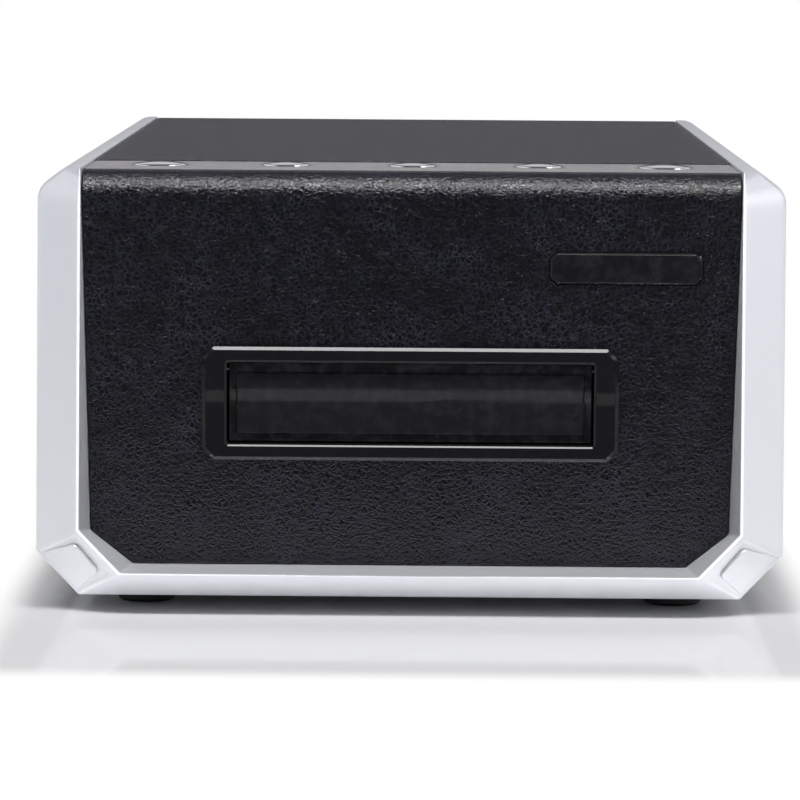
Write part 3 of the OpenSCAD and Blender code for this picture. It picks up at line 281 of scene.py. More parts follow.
def new_piece(name, bm, slot, body, *nodes, smooth=35, wall=0.0):
    """Makes a mesh a piece in its slot's finish, which rides on a body and stands for CAD nodes

    A sheet is given its wall and has its edges rounded.
    """
    mesh = bpy.data.meshes.new(name)
    bm.to_mesh(mesh)
    bm.free()
    mesh.materials.append(finish(slot))
    mesh.shade_smooth()
    mesh.set_sharp_from_angle(angle=math.radians(smooth))
    piece = bpy.data.objects.new(name, mesh)
    bpy.context.scene.collection.objects.link(piece)
    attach(piece, body)
    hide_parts(*nodes)
    if wall:
        thickness = piece.modifiers.new("Wall", "SOLIDIFY")
        thickness.thickness = wall
        thickness.offset = -1
        thickness.use_even_offset = True
        bevel = piece.modifiers.new("Rounded edges", "BEVEL")
        bevel.width = 0.4 * MM
        bevel.segments = 3
        bevel.limit_method = "ANGLE"
        bevel.angle_limit = math.radians(35)
        bevel.use_clamp_overlap = True
    normals = piece.modifiers.new("Flat faces stay flat", "WEIGHTED_NORMAL")
    normals.keep_sharp = True


# ---- Node helpers ----

def add_node(tree, kind, settings=None, **inputs):
    """Adds a node with its settings and inputs"""
    node = tree.nodes.new(kind)
    for key, value in (settings or {}).items():
        setattr(node, key, value)
    feed(tree, node, **inputs)
    return node


def feed(tree, node, **inputs):
    """Gives a node's inputs numbers, colours or other nodes' outputs

    An input's name has _ for a blank, or is i and its number.
    """
    for key, value in inputs.items():
        numbered = key[0] == "i" and key[1:].isdigit()
        socket = node.inputs[int(key[1:]) if numbered else key.replace("_", " ")]
        if isinstance(value, bpy.types.NodeSocket):
            tree.links.new(value, socket)
        else:
            socket.default_value = value


def maths(tree, operation, a, b=0.0, clamp=False):
    """A Math node's output"""
    settings = {"operation": operation, "use_clamp": clamp}
    return add_node(tree, "ShaderNodeMath", settings, i0=a, i1=b).outputs[0]


def times(tree, a, b, clamp=False):
    """Product of two values"""
    return maths(tree, "MULTIPLY", a, b, clamp)


def greater(tree, a, b):
    """The greater of two values"""
    return maths(tree, "MAXIMUM", a, b)


def weighted_sum(tree, *terms):
    """Sum of values, each times its weight"""
    total, *rest = [times(tree, value, weight) for value, weight in terms]
    for part in rest:
        total = maths(tree, "ADD", total, part)
    return total


def vector_maths(tree, operation, **inputs):
    """A Vector Math node's output"""
    return add_node(tree, "ShaderNodeVectorMath", {"operation": operation}, **inputs).outputs[0]


def noise(tree, vector, scale, detail=3.0, rough=0.5):
    """A Noise Texture's value"""
    node = add_node(
        tree, "ShaderNodeTexNoise", None, Vector=vector, Scale=scale, Detail=detail, Roughness=rough)
    return node.outputs[0]


def cell_edges(tree, vector, scale):
    """Distance from the borders of random cells"""
    settings = {"feature": "DISTANCE_TO_EDGE"}
    return add_node(tree, "ShaderNodeTexVoronoi", settings, Vector=vector, Scale=scale).outputs["Distance"]


def span(tree, value, low, high, to_low=0.0, to_high=1.0, smooth=True):
    """Maps a value's range to another one"""
    settings = {"interpolation_type": "SMOOTHSTEP" if smooth else "LINEAR", "clamp": True}
    return add_node(
        tree, "ShaderNodeMapRange", settings, i0=value, i1=low, i2=high, i3=to_low, i4=to_high).outputs[0]


def blend_colour(tree, mask, a, b):
    """Colour a where the mask is 0 and b where it is 1"""
    settings = {"data_type": "RGBA", "blend_type": "MIX"}
    return add_node(tree, "ShaderNodeMix", settings, i0=mask, i6=a, i7=b).outputs[2]


def mix_shaders(tree, share, a, b):
    """Shader a where the share is 0 and b where it is 1"""
    return add_node(tree, "ShaderNodeMixShader", None, i0=share, i1=a.outputs[0], i2=b.outputs[0])


def mirrored_rays(tree, rays):
    """1 for what gloss and glass show"""
    return greater(tree, rays.outputs["Is Glossy Ray"], rays.outputs["Is Transmission Ray"])


def rgba(colour, factor=1.0):
    """An opaque colour, made lighter or darker by a factor"""
    return tuple(min(c * factor, 1.0) for c in colour) + (1.0,)


def new_group(name, inputs, outputs):
    """An empty shader node group with float and vector sockets; returns it with its two end nodes"""
    kinds = {"f": "NodeSocketFloat", "v": "NodeSocketVector"}
    group = bpy.data.node_groups.new(name, "ShaderNodeTree")
    for label, kind, value in inputs:
        socket = group.interface.new_socket(label, in_out="INPUT", socket_type=kinds[kind])
        if value is not None:
            socket.default_value = value
    for label, kind in outputs:
        group.interface.new_socket(label, in_out="OUTPUT", socket_type=kinds[kind])
    return group, group.nodes.new("NodeGroupInput"), group.nodes.new("NodeGroupOutput")


def pebble_grain_group():
    """Pebbled hide: domed cells of uneven size and fine raised wrinkles

    Crease marks the thin lines between cells.
    """
    group, start, end = new_group(
        "Pebble grain",
        [("Vector", "v", None), ("Pebble", "f", 1.5 * MM), ("Wrinkle", "f", 0.5)],
        [("Height", "f"), ("Crease", "f"), ("Tone", "f")])
    vector, pebble = start.outputs["Vector"], start.outputs["Pebble"]
    per_metre = maths(group, "DIVIDE", 1.0, pebble)
    bend = add_node(
        group, "ShaderNodeTexNoise", None, Vector=vector, Scale=times(group, per_metre, 0.45), Detail=2.0)
    centred = vector_maths(group, "SUBTRACT", i0=bend.outputs[1], i1=(0.5, 0.5, 0.5))
    push = vector_maths(group, "SCALE", i0=centred, Scale=times(group, pebble, 1.3))
    warped = vector_maths(group, "ADD", i0=vector, i1=push)
    cells = cell_edges(group, warped, per_metre)
    domes = span(group, cells, 0.0, 0.28)
    pips = span(group, cell_edges(group, warped, times(group, per_metre, 2.3)), 0.0, 0.3)
    worms = noise(group, warped, times(group, per_metre, 1.1), 3.0, 0.6)
    valleys = span(group, maths(group, "ABSOLUTE", maths(group, "SUBTRACT", worms, 0.5)), 0.0, 0.06)
    wrinkles = times(group, start.outputs["Wrinkle"], maths(group, "SUBTRACT", 1.0, valleys))
    broad = noise(group, vector, times(group, per_metre, 0.12), 2.0)
    feed(group, end,
         Height=weighted_sum(group, (domes, 0.6), (pips, 0.3), (wrinkles, 0.4), (broad, 0.25)),
         Crease=span(group, cells, 0.02, 0.13, 1.0, 0.0),
         Tone=broad)
    return group


def moulded_skin_group():
    """Fine skin of a moulded or painted part: a dense grain, a slow change of tone, and smudges"""
    group, start, end = new_group(
        "Moulded skin",
        [("Vector", "v", None), ("Grain", "f", 0.3 * MM)],
        [("Height", "f"), ("Tone", "f"), ("Smudge", "f")])
    vector = start.outputs["Vector"]
    per_metre = maths(group, "DIVIDE", 1.0, start.outputs["Grain"])
    cloud = noise(group, vector, 55.0, 5.0, 0.65)
    feed(group, end,
         Height=noise(group, vector, per_metre, 2.0),
         Tone=noise(group, vector, 35.0, 2.0),
         Smudge=span(group, cloud, 0.48, 0.72))
    return group


def brushed_metal_group():
    """Fine lines along X with a broken tone"""
    group, start, end = new_group(
        "Brushed metal",
        [("Vector", "v", None), ("Line", "f", 0.15 * MM)],
        [("Height", "f"), ("Tone", "f")])
    vector = start.outputs["Vector"]
    stretched = add_node(
        group, "ShaderNodeMapping", None, Vector=vector, Scale=(0.03, 1.0, 1.0)).outputs[0]
    per_metre = maths(group, "DIVIDE", 1.0, start.outputs["Line"])
    feed(group, end,
         Height=noise(group, stretched, per_metre, 2.0),
         Tone=noise(group, vector, 60.0, 4.0))
    return group


def edge_wear_group():
    """Mask of the edges that hands rub, broken up by a fine noise"""
    group, start, end = new_group(
        "Edge wear", [("Vector", "v", None), ("Amount", "f", 0.5)], [("Mask", "f")])
    point = add_node(group, "ShaderNodeNewGeometry").outputs["Pointiness"]
    edge = span(group, point, 0.505, 0.56)
    patch = span(group, noise(group, start.outputs["Vector"], 300.0, 4.0, 0.7), 0.42, 0.66)
    feed(group, end, Mask=times(group, edge, times(group, patch, start.outputs["Amount"]), clamp=True))
    return group


def dust_group():
    """Mask of fine dust that settles on what faces up"""
    group, start, end = new_group(
        "Settled dust", [("Vector", "v", None), ("Amount", "f", 0.3)], [("Mask", "f")])
    vector = start.outputs["Vector"]
    normal = add_node(group, "ShaderNodeNewGeometry").outputs["Normal"]
    up = add_node(group, "ShaderNodeSeparateXYZ", None, Vector=normal).outputs["Z"]
    specks = span(group, noise(group, vector, 2600.0, 2.0), 0.62, 0.8)
    film = noise(group, vector, 40.0, 4.0, 0.6)
    layer = times(group, weighted_sum(group, (specks, 0.7), (film, 0.3)), span(group, up, 0.3, 1.0))
    feed(group, end, Mask=times(group, layer, start.outputs["Amount"]))
    return group


GROUP_MAKERS = {
    "Pebble grain": pebble_grain_group,
    "Moulded skin": moulded_skin_group,
    "Brushed metal": brushed_metal_group,
    "Edge wear": edge_wear_group,
    "Settled dust": dust_group,
}


def effect(tree, name, **inputs):
    """Places a shared effect in a material, building its group the first time"""
    group = bpy.data.node_groups.get(name) or GROUP_MAKERS[name]()
    return add_node(tree, "ShaderNodeGroup", {"node_tree": group}, **inputs).outputs


def new_material(name, **constants):
    """A material with a Principled shader; returns it with its tree, shader and object coordinates"""
    material = bpy.data.materials.new(name)
    material.use_nodes = True
    tree = material.node_tree
    tree.nodes.clear()
    shader = add_node(tree, "ShaderNodeBsdfPrincipled", None, **constants)
    add_node(tree, "ShaderNodeOutputMaterial", None, Surface=shader.outputs[0])
    place = add_node(tree, "ShaderNodeTexCoord").outputs["Object"]
    return material, tree, shader, place


def add_bump(tree, shader, height, depth):
    """Bump of a depth in metres from a height of 0 to 1"""
    bump = add_node(tree, "ShaderNodeBump", None, Strength=1.0, Distance=depth, Height=height)
    feed(tree, shader, Normal=bump.outputs[0])


# ---- Finishes ----

# Attribute of the shell's mesh that is 1 along the land of the front ridge, where the paint is made palest
# as a painted highlight
RIDGE_HIGHLIGHT = "ridge_land"
DUST = (0.3, 0.3, 0.31, 1)


def skin_finish(name, colour, skin, tone, gloss, depth, worn=None, dust=0.0, **constants):
    """A finish with a slow change of tone, uneven gloss and a fine bump

    skin is an effect with the size of its grain, tone the factors of the colour's darkest and
    lightest places, gloss the least and most roughness, depth that of the bump, worn the factor of
    the colour on rubbed edges with their amount, and dust the amount that settles on top.
    """
    material, tree, shader, place = new_material(name, **constants)
    kind, size = skin
    grain = effect(tree, kind, Vector=place, **size)
    base = blend_colour(tree, grain["Tone"], *(rgba(colour, factor) for factor in tone))
    if worn:
        rubbed = effect(tree, "Edge wear", Vector=place, Amount=worn[1])["Mask"]
        base = blend_colour(tree, rubbed, base, rgba(colour, worn[0]))
    if dust:
        settled = effect(tree, "Settled dust", Vector=place, Amount=dust)["Mask"]
        base = blend_colour(tree, settled, base, DUST)
    uneven = (grain["Height"], 0.2, 0.8) if kind == "Brushed metal" else (grain["Smudge"], 0.0, 1.0)
    feed(tree, shader, Base_Color=base, Roughness=span(tree, *uneven, *gloss))
    add_bump(tree, shader, grain["Height"], depth)
    return material


def moulded(grain):
    """The skin of a moulding, with the size of its grain"""
    return "Moulded skin", {"Grain": grain}


def silver_paint(name, colour):
    """Satin silver paint: fine flake, a trace of orange peel, rubbed edges made paler, partly as a painted
    edge highlight, and a painted highlight along the ridge
    """
    material, tree, shader, place = new_material(name, Specular_IOR_Level=0.5)
    skin = effect(tree, "Moulded skin", Vector=place, Grain=0.9 * MM)
    wear = effect(tree, "Edge wear", Vector=place, Amount=0.35)["Mask"]
    ridge = add_node(tree, "ShaderNodeAttribute", {"attribute_name": RIDGE_HIGHLIGHT}).outputs["Fac"]
    # Paler, less metallic paint on rubbed edges, partly a painted edge highlight, and a painted highlight
    # along the ridge land
    bare = greater(tree, wear, ridge)
    flake = span(tree, noise(tree, place, 9000.0, 1.0), 0.3, 0.7, smooth=False)
    base = blend_colour(tree, flake, rgba(colour, 0.97), rgba(colour, 1.03))
    feed(tree, shader,
         Base_Color=blend_colour(tree, bare, base, rgba(colour, 1.14)),
         Metallic=span(tree, bare, 0.0, 1.0, 0.62, 0.1),
         Roughness=span(tree, flake, 0.0, 1.0, 0.36, 0.40))
    add_bump(tree, shader, skin["Height"], 0.003 * MM)
    return material


def grained_skin(name, colour, pebble, depth):
    """Black pebble-grained skin, shiniest on the pebbles, with broken paler lines between them: a painted
    highlight on the wrinkles' crests
    """
    material, tree, shader, place = new_material(name, Specular_IOR_Level=0.45)
    grain = effect(tree, "Pebble grain", Vector=place, Pebble=pebble, Wrinkle=0.6)
    dust = effect(tree, "Settled dust", Vector=place, Amount=0.03)["Mask"]
    broken = span(tree, noise(tree, place, 420.0, 2.0), 0.28, 0.52)
    # Paler lines along the creases, seven times the black: a painted highlight for light that the wrinkles
    # catch
    lines = times(tree, grain["Crease"], broken)
    base = blend_colour(tree, lines, rgba(colour), rgba(colour, 7.0))
    base = blend_colour(tree, span(tree, grain["Tone"], 0.3, 0.7), base, rgba(colour, 1.25))
    feed(tree, shader,
         Base_Color=blend_colour(tree, dust, base, (0.25, 0.25, 0.26, 1)),
         Roughness=span(tree, grain["Crease"], 0.0, 1.0, 0.16, 0.26))
    fine = noise(tree, place, 6000.0, 2.0)
    add_bump(tree, shader, maths(tree, "ADD", grain["Height"], times(tree, fine, 0.05)), depth)
    return material


def spark_moulding(name, colour, grain=0.35 * MM, roughness=0.55, depth=0.02 * MM, specular=0.3):
    """Matt moulding with a spark-eroded texture, dusty where it faces up"""
    return skin_finish(
        name, colour, moulded(grain), (0.9, 1.12), (roughness - 0.05, roughness + 0.05), depth,
        worn=(1.8, 0.5), dust=0.12, Specular_IOR_Level=specular)


def satin_moulding(name, colour):
    """Satin gunmetal moulding of the button strip"""
    return skin_finish(
        name, colour, moulded(0.25 * MM), (0.93, 1.08), (0.33, 0.42), 0.006 * MM, worn=(1.6, 0.6),
        Metallic=0.5)


def bright_plating(name, colour):
    """Bright plating with faint finger marks"""
    return skin_finish(
        name, colour, moulded(0.6 * MM), (0.96, 1.04), (0.12, 0.2), 0.001 * MM, Metallic=1.0)


def polished_black(name, colour, roughness, specular=0.2):
    """Polished black moulding with finger marks and hairline wear on its edges"""
    return skin_finish(
        name, colour, moulded(2.5 * MM), (0.95, 1.05), (roughness, roughness + 0.015), 0.0002 * MM,
        worn=(4.0, 0.6), dust=0.08, Specular_IOR_Level=specular)


def bare_metal(name, colour, roughness, line=0.15 * MM):
    """Bare metal with fine tool lines"""
    return skin_finish(
        name, colour, ("Brushed metal", {"Line": line}), (0.9, 1.08),
        (roughness - 0.06, roughness + 0.06), 0.003 * MM, worn=(1.3, 0.5), Metallic=1.0)


def circuit_laminate(name):
    """Green solder mask over faint copper tracks"""
    material, tree, shader, place = new_material(name, Specular_IOR_Level=0.5)
    bricks = {"Vector": place, "Scale": 180.0, "Mortar_Size": 0.03}
    tracks = add_node(tree, "ShaderNodeTexBrick", {"offset": 0.35}, **bricks).outputs["Fac"]
    skin = effect(tree, "Moulded skin", Vector=place, Grain=0.2 * MM)
    mask = blend_colour(tree, tracks, (0.015, 0.10, 0.045, 1), (0.03, 0.17, 0.07, 1))
    feed(tree, shader,
         Base_Color=blend_colour(tree, skin["Tone"], mask, (0.01, 0.08, 0.035, 1)),
         Roughness=span(tree, skin["Smudge"], 0.0, 1.0, 0.3, 0.42))
    add_bump(tree, shader, tracks, 0.02 * MM)
    return material


def coated_glass(name):
    """Coated lens glass"""
    material, tree, shader, place = new_material(name, Transmission_Weight=1.0, IOR=1.52)
    skin = effect(tree, "Moulded skin", Vector=place, Grain=1.0 * MM)
    feed(tree, shader,
         Base_Color=blend_colour(tree, skin["Tone"], (0.70, 0.80, 0.86, 1), (0.78, 0.84, 0.90, 1)),
         Roughness=span(tree, skin["Smudge"], 0.0, 1.0, 0.01, 0.04))
    return material


def finish(slot):
    """The material of one of the record's slots, made when it is first asked for"""
    name = slot + "_finish"
    if name in bpy.data.materials:
        return bpy.data.materials[name]
    colours = bpy.context.scene.scanner_finishes
    makers = {
        "silver_shell": (silver_paint, colours.silver),
        "silver_cap": (silver_paint, colours.silver),
        "black_grain": (grained_skin, colours.black, colours.grain, colours.grain_depth),
        "black_moulding": (spark_moulding, (0.014, 0.014, 0.016)),
        "strip_satin": (satin_moulding, colours.strip),
        "chrome_cap": (bright_plating, colours.plating),
        "circuit_board": (circuit_laminate,),
        "switch_body": (spark_moulding, (0.04, 0.04, 0.045)),
        "gloss_black": (polished_black, colours.gloss, 0.02, 0.17),
        "gloss_flap": (polished_black, tuple(1.3 * c for c in colours.gloss), 0.02),
        "gloss_plate": (polished_black, colours.gloss, 0.08),
        "steel_pin": (bare_metal, (0.22, 0.22, 0.23), 0.3),
        "spring_wire": (bare_metal, (0.42, 0.42, 0.44), 0.32, 0.05 * MM),
        "zinc_sheet": (bare_metal, (0.50, 0.52, 0.54), 0.42, 0.6 * MM),
        "guide_moulding": (spark_moulding, (0.018, 0.018, 0.02)),
        "roller_rubber": (spark_moulding, (0.02, 0.02, 0.02), 0.15 * MM, 0.75),
        "gear_nylon": (spark_moulding, (0.76, 0.74, 0.66), 0.5 * MM, 0.45, 0.004 * MM, 0.5),
        "brass_part": (bare_metal, (0.72, 0.55, 0.24), 0.28),
        "motor_can": (bare_metal, (0.48, 0.49, 0.50), 0.36),
        "diffuser_sheet": (spark_moulding, (0.85, 0.85, 0.83), 0.2 * MM, 0.5, 0.004 * MM, 0.5),
        "mirror_face": (bare_metal, (0.85, 0.86, 0.88), 0.08, 4 * MM),
        "lens_black": (bare_metal, (0.02, 0.02, 0.02), 0.4),
        "lens_glass": (coated_glass,),
        "sensor_body": (spark_moulding, (0.03, 0.03, 0.035)),
        "chip_black": (spark_moulding, (0.03, 0.03, 0.032)),
        "socket_steel": (bare_metal, (0.60, 0.60, 0.62), 0.3),
        "socket_black": (polished_black, (0.013, 0.013, 0.014), 0.3),
        "foot_rubber": (spark_moulding, (0.015, 0.015, 0.016), 0.2 * MM, 0.8),
        "screw_steel": (bare_metal, (0.35, 0.35, 0.36), 0.3),
    }
    maker, *values = makers[slot]
    return maker(name, *values)


# ---- Silver shell ----

# Steps of the roundings along an outline: the shoulder's inner tip, its two bends, and each lower corner
TIP_STEPS, BEND_STEPS, SHOULDER_STEPS, TURN_STEPS = 3, 5, 8, 3
SHOULDER_POINTS = (TIP_STEPS + 1) + (BEND_STEPS + 1) + (SHOULDER_STEPS + 1) + 1

RIDGE_FOOT_Z = BOTTOM_Z + 6.7 * MM
POCKET_DEPTH = 0.6 * MM


def ridge_lean(sizes, z):
    """Y of the leaning ridge plane at a height"""
    return SHELL_LOW.y + sizes.lean * (z - RIDGE_FOOT_Z) / (TOP_Z - RIDGE_FOOT_Z)


def opening_edge(sizes):
    """X of the upright inner edge of the shell's right side"""
    return STRIP_HIGH.x + sizes.seam


def opening_corners(sizes):
    """Ends of the slanting lower corner of the shell's opening, the upper one first, as [x, z]"""
    edge_x = opening_edge(sizes)
    return Vector((edge_x - 2 * MM, BOTTOM_Z + 15.1 * MM)), Vector((edge_x - 12 * MM, BOTTOM_Z + 7.2 * MM))


def outline(top, high, low, radius):
    """An outline's points: its top, the two rounded ends of its slanting lower corner, and the middle"""
    middle = Vector((0, low.y))
    return (top + soft_corner(top[-1], high, low, radius, TURN_STEPS)
            + soft_corner(high, low, middle, radius, TURN_STEPS) + [middle])


def shell_outlines(sizes):
    """Right halves of the shell's outlines as [x, z], from the top's inner edge to the bottom's middle"""
    edge_x, radius = opening_edge(sizes), sizes.corner_round
    tip, bend = Vector((edge_x, TOP_Z)), Vector((edge_x + 3.8 * MM, TOP_Z))
    side = Vector((HALF_W, TOP_Z - sizes.shoulder))
    upper = Vector((HALF_W, BOTTOM_Z + sizes.corner + 0.4 * MM))
    lower = Vector((HALF_W - sizes.corner, BOTTOM_Z))
    shoulder = (soft_corner(tip - Vector((0, 1)), tip, bend, 0.35 * MM, TIP_STEPS)
                + soft_corner(tip, bend, side, 1.9 * MM, BEND_STEPS)
                + soft_corner(bend, side, upper, 3.1 * MM, SHOULDER_STEPS) + [side - Vector((0, 6 * MM))])
    # On the other outlines the tip's points share one place, and the rest keep their spacing
    steps = [(b - a).length if k > TIP_STEPS else 0 for k, (a, b) in enumerate(zip(shoulder, shoulder[1:]))]
    shares = [sum(steps[:k]) / sum(steps) for k in range(len(shoulder))]

    def straight(x, z, x_low, z_low):
        start, end = Vector((x, z)), Vector((x_low, z_low))
        return [start + (end - start) * part for part in shares]

    outer = outline(shoulder, upper, lower, radius)
    top_z, shoulder_z = TOP_Z - 0.6 * MM, TOP_Z - sizes.shoulder - 5.2 * MM
    ridge_x = edge_x + sizes.land
    high = Vector((edge_x + 0.6 * MM, BOTTOM_Z + 15.9 * MM))
    low = Vector((edge_x - 9.2 * MM, BOTTOM_Z + 5.9 * MM))
    ridge = outline(straight(ridge_x - 0.3 * MM, TOP_Z - 0.1 * MM, ridge_x, shoulder_z), high, low, radius)
    shift = Vector((-sizes.land, sizes.land / 2))
    rim = outline(straight(edge_x, top_z, edge_x, shoulder_z), high + shift, low + shift, radius)
    opening = outline(
        straight(edge_x, top_z, edge_x - 0.2 * MM, shoulder_z), *opening_corners(sizes), radius)
    inner_x, roof_z = HALF_W - sizes.wall, TOP_Z - sizes.wall - 1 * MM
    roof = Vector((edge_x, roof_z)), Vector((inner_x - 4 * MM, roof_z)), Vector((inner_x, TOP_Z - 9.4 * MM))
    # The cavity's top runs level over half of the points' shares and then slopes down
    cavity_top = [roof[0] + (roof[1] - roof[0]) * part * 2 if part < 0.5
                  else roof[1] + (roof[2] - roof[1]) * (part * 2 - 1) for part in shares]
    cavity = outline(
        cavity_top, Vector((inner_x, BOTTOM_Z + sizes.corner + 2 * MM)),
        Vector((HALF_W - sizes.corner - 1 * MM, BOTTOM_Z + sizes.wall)), radius)
    return outer, ridge, rim, opening, cavity


def on_ridge_plane(sizes, point, deep=0.0):
    """A point of an outline, placed on the leaning ridge plane or a depth behind it"""
    return Vector((point.x, ridge_lean(sizes, point.y) + deep, point.y))


def facet_point(sizes, u, v, out=0.0):
    """A point on the cut facet of the outer bevel

    u runs down along the facet, v from the ridge to the outer edge, and out raises the point.
    """
    outer, ridge = shell_outlines(sizes)[:2]
    upper, lower = SHOULDER_POINTS + TURN_STEPS, SHOULDER_POINTS + TURN_STEPS + 1
    a, b = (on_ridge_plane(sizes, ridge[k]) for k in (upper, lower))
    d, c = (on_ridge_plane(sizes, outer[k], sizes.bevel) for k in (upper, lower))
    normal = (b - a).cross(d - a).normalized()
    if normal.y > 0:
        normal.negate()
    return (a * (1 - u) + b * u) * (1 - v) + (d * (1 - u) + c * u) * v + normal * out


def build_shell(sizes):
    """The U shell as one skin of rings, from its mouth over the ridge to the back and the inside"""
    mouth_y = PANEL_LOW.y + 0.5 * MM
    flange_y = PANEL_LOW.y + 8 * MM
    columns = []
    for index, (outer, ridge, rim, opening, cavity) in enumerate(zip(*shell_outlines(sizes))):
        mouth, seat = Vector((opening.x, mouth_y, opening.y)), Vector((opening.x, flange_y, opening.y))
        land_in, land_out = on_ridge_plane(sizes, rim), on_ridge_plane(sizes, ridge)
        turn, end = on_ridge_plane(sizes, outer, sizes.bevel), Vector((outer.x, BACK_Y, outer.y))
        inside = [Vector((cavity.x, y, cavity.y)) for y in (BACK_Y, flange_y)]
        side_round = sizes.side_round if index < SHOULDER_POINTS + 1 else sizes.foot_round
        columns.append(
            [seat, mouth] + soft_corner(mouth, land_in, land_out, 0.12 * MM, 2)
            + soft_corner(land_in, land_out, turn, sizes.ridge_round, 3)
            + soft_corner(land_out, turn, end, side_round, 6)
            + soft_corner(turn, end, inside[0], sizes.back_round, 3) + inside + [seat])
    bm = bmesh.new()
    mask = bm.verts.layers.float.new(RIDGE_HIGHLIGHT)
    rows = extrude_rings(bm, list(zip(*columns)))
    # Rows: the seat, the mouth, three round the land's inner edge, four round the ridge, then the bevel
    land_rows, ridge_row, corner = rows[3:8], 8, SHOULDER_POINTS + TURN_STEPS
    pocket = next(f for f in rows[ridge_row][corner].link_faces
                  if rows[ridge_row + 1][corner + 1] in f.verts)
    # The land's vertices get 1 in the layer that paints a highlight along the ridge
    for row in land_rows:
        for vert in row:
            vert[mask] = 1
    bmesh.ops.remove_doubles(bm, verts=rows[0] + rows[-1], dist=0.01 * MM)
    cut_pocket(bm, pocket, sizes)
    tip = [e for e in bm.edges if e.is_boundary and all(v.co.x > 1 * MM for v in e.verts)]
    bmesh.ops.holes_fill(bm, edges=tip, sides=0)
    mirror_x(bm)
    merge(bm)
    return bm


def cut_pocket(bm, face, sizes):
    """Sinks the pad's pocket into the cut facet: deep beside the ridge, running out at the outer edge"""
    def settle(spots):
        places = [facet_point(sizes, *spot) for spot in spots]
        for vert in face.verts:
            vert.co = min(places, key=lambda place: (place - vert.co).length)

    rim = ((0.05, 0.10, 0), (0.96, 0.14, 0), (0.985, 0.955, 0), (0.015, 0.955, 0))
    floor = ((0.08, 0.13, -POCKET_DEPTH), (0.93, 0.17, -POCKET_DEPTH),
             (0.965, 0.945, -0.02 * MM), (0.03, 0.945, -0.02 * MM))
    bmesh.ops.inset_individual(bm, faces=[face], thickness=0.5 * MM, depth=0)
    settle(rim)
    bmesh.ops.inset_individual(bm, faces=[face], thickness=0.1 * MM, depth=0)
    settle(floor)


class SCANNER_OT_shell(bpy.types.Operator):
    """Moulds the silver U shell with its leaning double bevel"""
    bl_idname = "scanner.shell"
    bl_label = "Silver shell"

    def execute(self, context):
        sizes = context.scene.scanner_sizes
        shell = build_shell(sizes)
        new_piece("silver_shell_moulding", shell, "silver_shell", "housing", "outer_shell", smooth=55)
        return {"FINISHED"}


class SCANNER_OT_corner_pads(bpy.types.Operator):
    """Sets the two raised pads into the lower corners of the bevel"""
    bl_idname = "scanner.corner_pads"
    bl_label = "Corner pads"

    def execute(self, context):
        sizes = context.scene.scanner_sizes
        # Places on the facet, the two beside the ridge first, and how far each stands proud in millimetres
        corners = ((0.17, 0.22), (0.81, 0.27), (0.95, 0.93), (0.045, 0.93))
        rises = (0.3, 0.3, 0.12, 0.12)
        bm = bmesh.new()
        feet = [facet_point(sizes, u, v, -POCKET_DEPTH) for u, v in corners]
        face = bm.faces.new([bm.verts.new(foot) for foot in feet])
        lifted = verts_in(bmesh.ops.extrude_face_region(bm, geom=[face])["geom"])
        for (u, v), rise in zip(corners, rises):
            place = facet_point(sizes, u, v, rise * MM)
            min(lifted, key=lambda vert: (vert.co - place).length).co = place
        bmesh.ops.recalc_face_normals(bm, faces=bm.faces)
        ridge_side = [e for e in bm.edges if len(set(e.verts) & set(lifted)) == 1 and any(
            (v.co - foot).length < 0.01 * MM for v in e.verts for foot in feet[:2])]
        round_edges(bm, ridge_side, 1.1 * MM, 5)
        top = max((f for f in bm.faces if len(f.verts) > 6), key=lambda f: -f.calc_center_median().y)
        round_edges(bm, top.edges[:], 0.3 * MM, 4)
        mirror_x(bm)
        bmesh.ops.recalc_face_normals(bm, faces=bm.faces)
        new_piece("corner_pads", bm, "silver_cap", "housing", "corner_caps")
        return {"FINISHED"}


# ---- Grained covers ----

def cut_outside(bm, point, normal):
    """Trims a mesh to one side of a plane"""
    bmesh.ops.bisect_plane(bm, geom=all_parts(bm), plane_co=point, plane_no=normal, clear_outer=True)


def slice_window(bm, low, high, cut=0.0):
    """Slices a rectangle with cut corners into the front of a mesh and returns the faces inside it"""
    def within(face):
        centre = face.calc_center_median()
        return low.x < centre.x < high.x and low.z < centre.z < high.z and centre.y < low.y + 1 * MM

    def over(face, x_side, z_side):
        centre, x, z = face.calc_center_median(), (low.x, high.x)[x_side], (low.z, high.z)[z_side]
        return abs(centre.x - x) + abs(centre.z - z) < cut

    for point, normal in ((low, (1, 0, 0)), (low, (0, 0, 1)), (high, (1, 0, 0)), (high, (0, 0, 1))):
        bmesh.ops.bisect_plane(bm, geom=all_parts(bm), plane_co=point, plane_no=normal)
    corners = [(x_side, z_side) for x_side in (0, 1) for z_side in (0, 1)] if cut else []
    for x_side, z_side in corners:
        faces = [f for f in bm.faces if within(f)]
        geom = set(faces) | {v for f in faces for v in f.verts} | {e for f in faces for e in f.edges}
        x, z = (low.x + cut, high.x - cut)[x_side], (low.z, high.z)[z_side]
        bmesh.ops.bisect_plane(
            bm, geom=list(geom), plane_co=(x, 0, z), plane_no=(2 * x_side - 1, 0, 2 * z_side - 1))
    return [f for f in bm.faces if within(f) and not any(over(f, *corner) for corner in corners)]


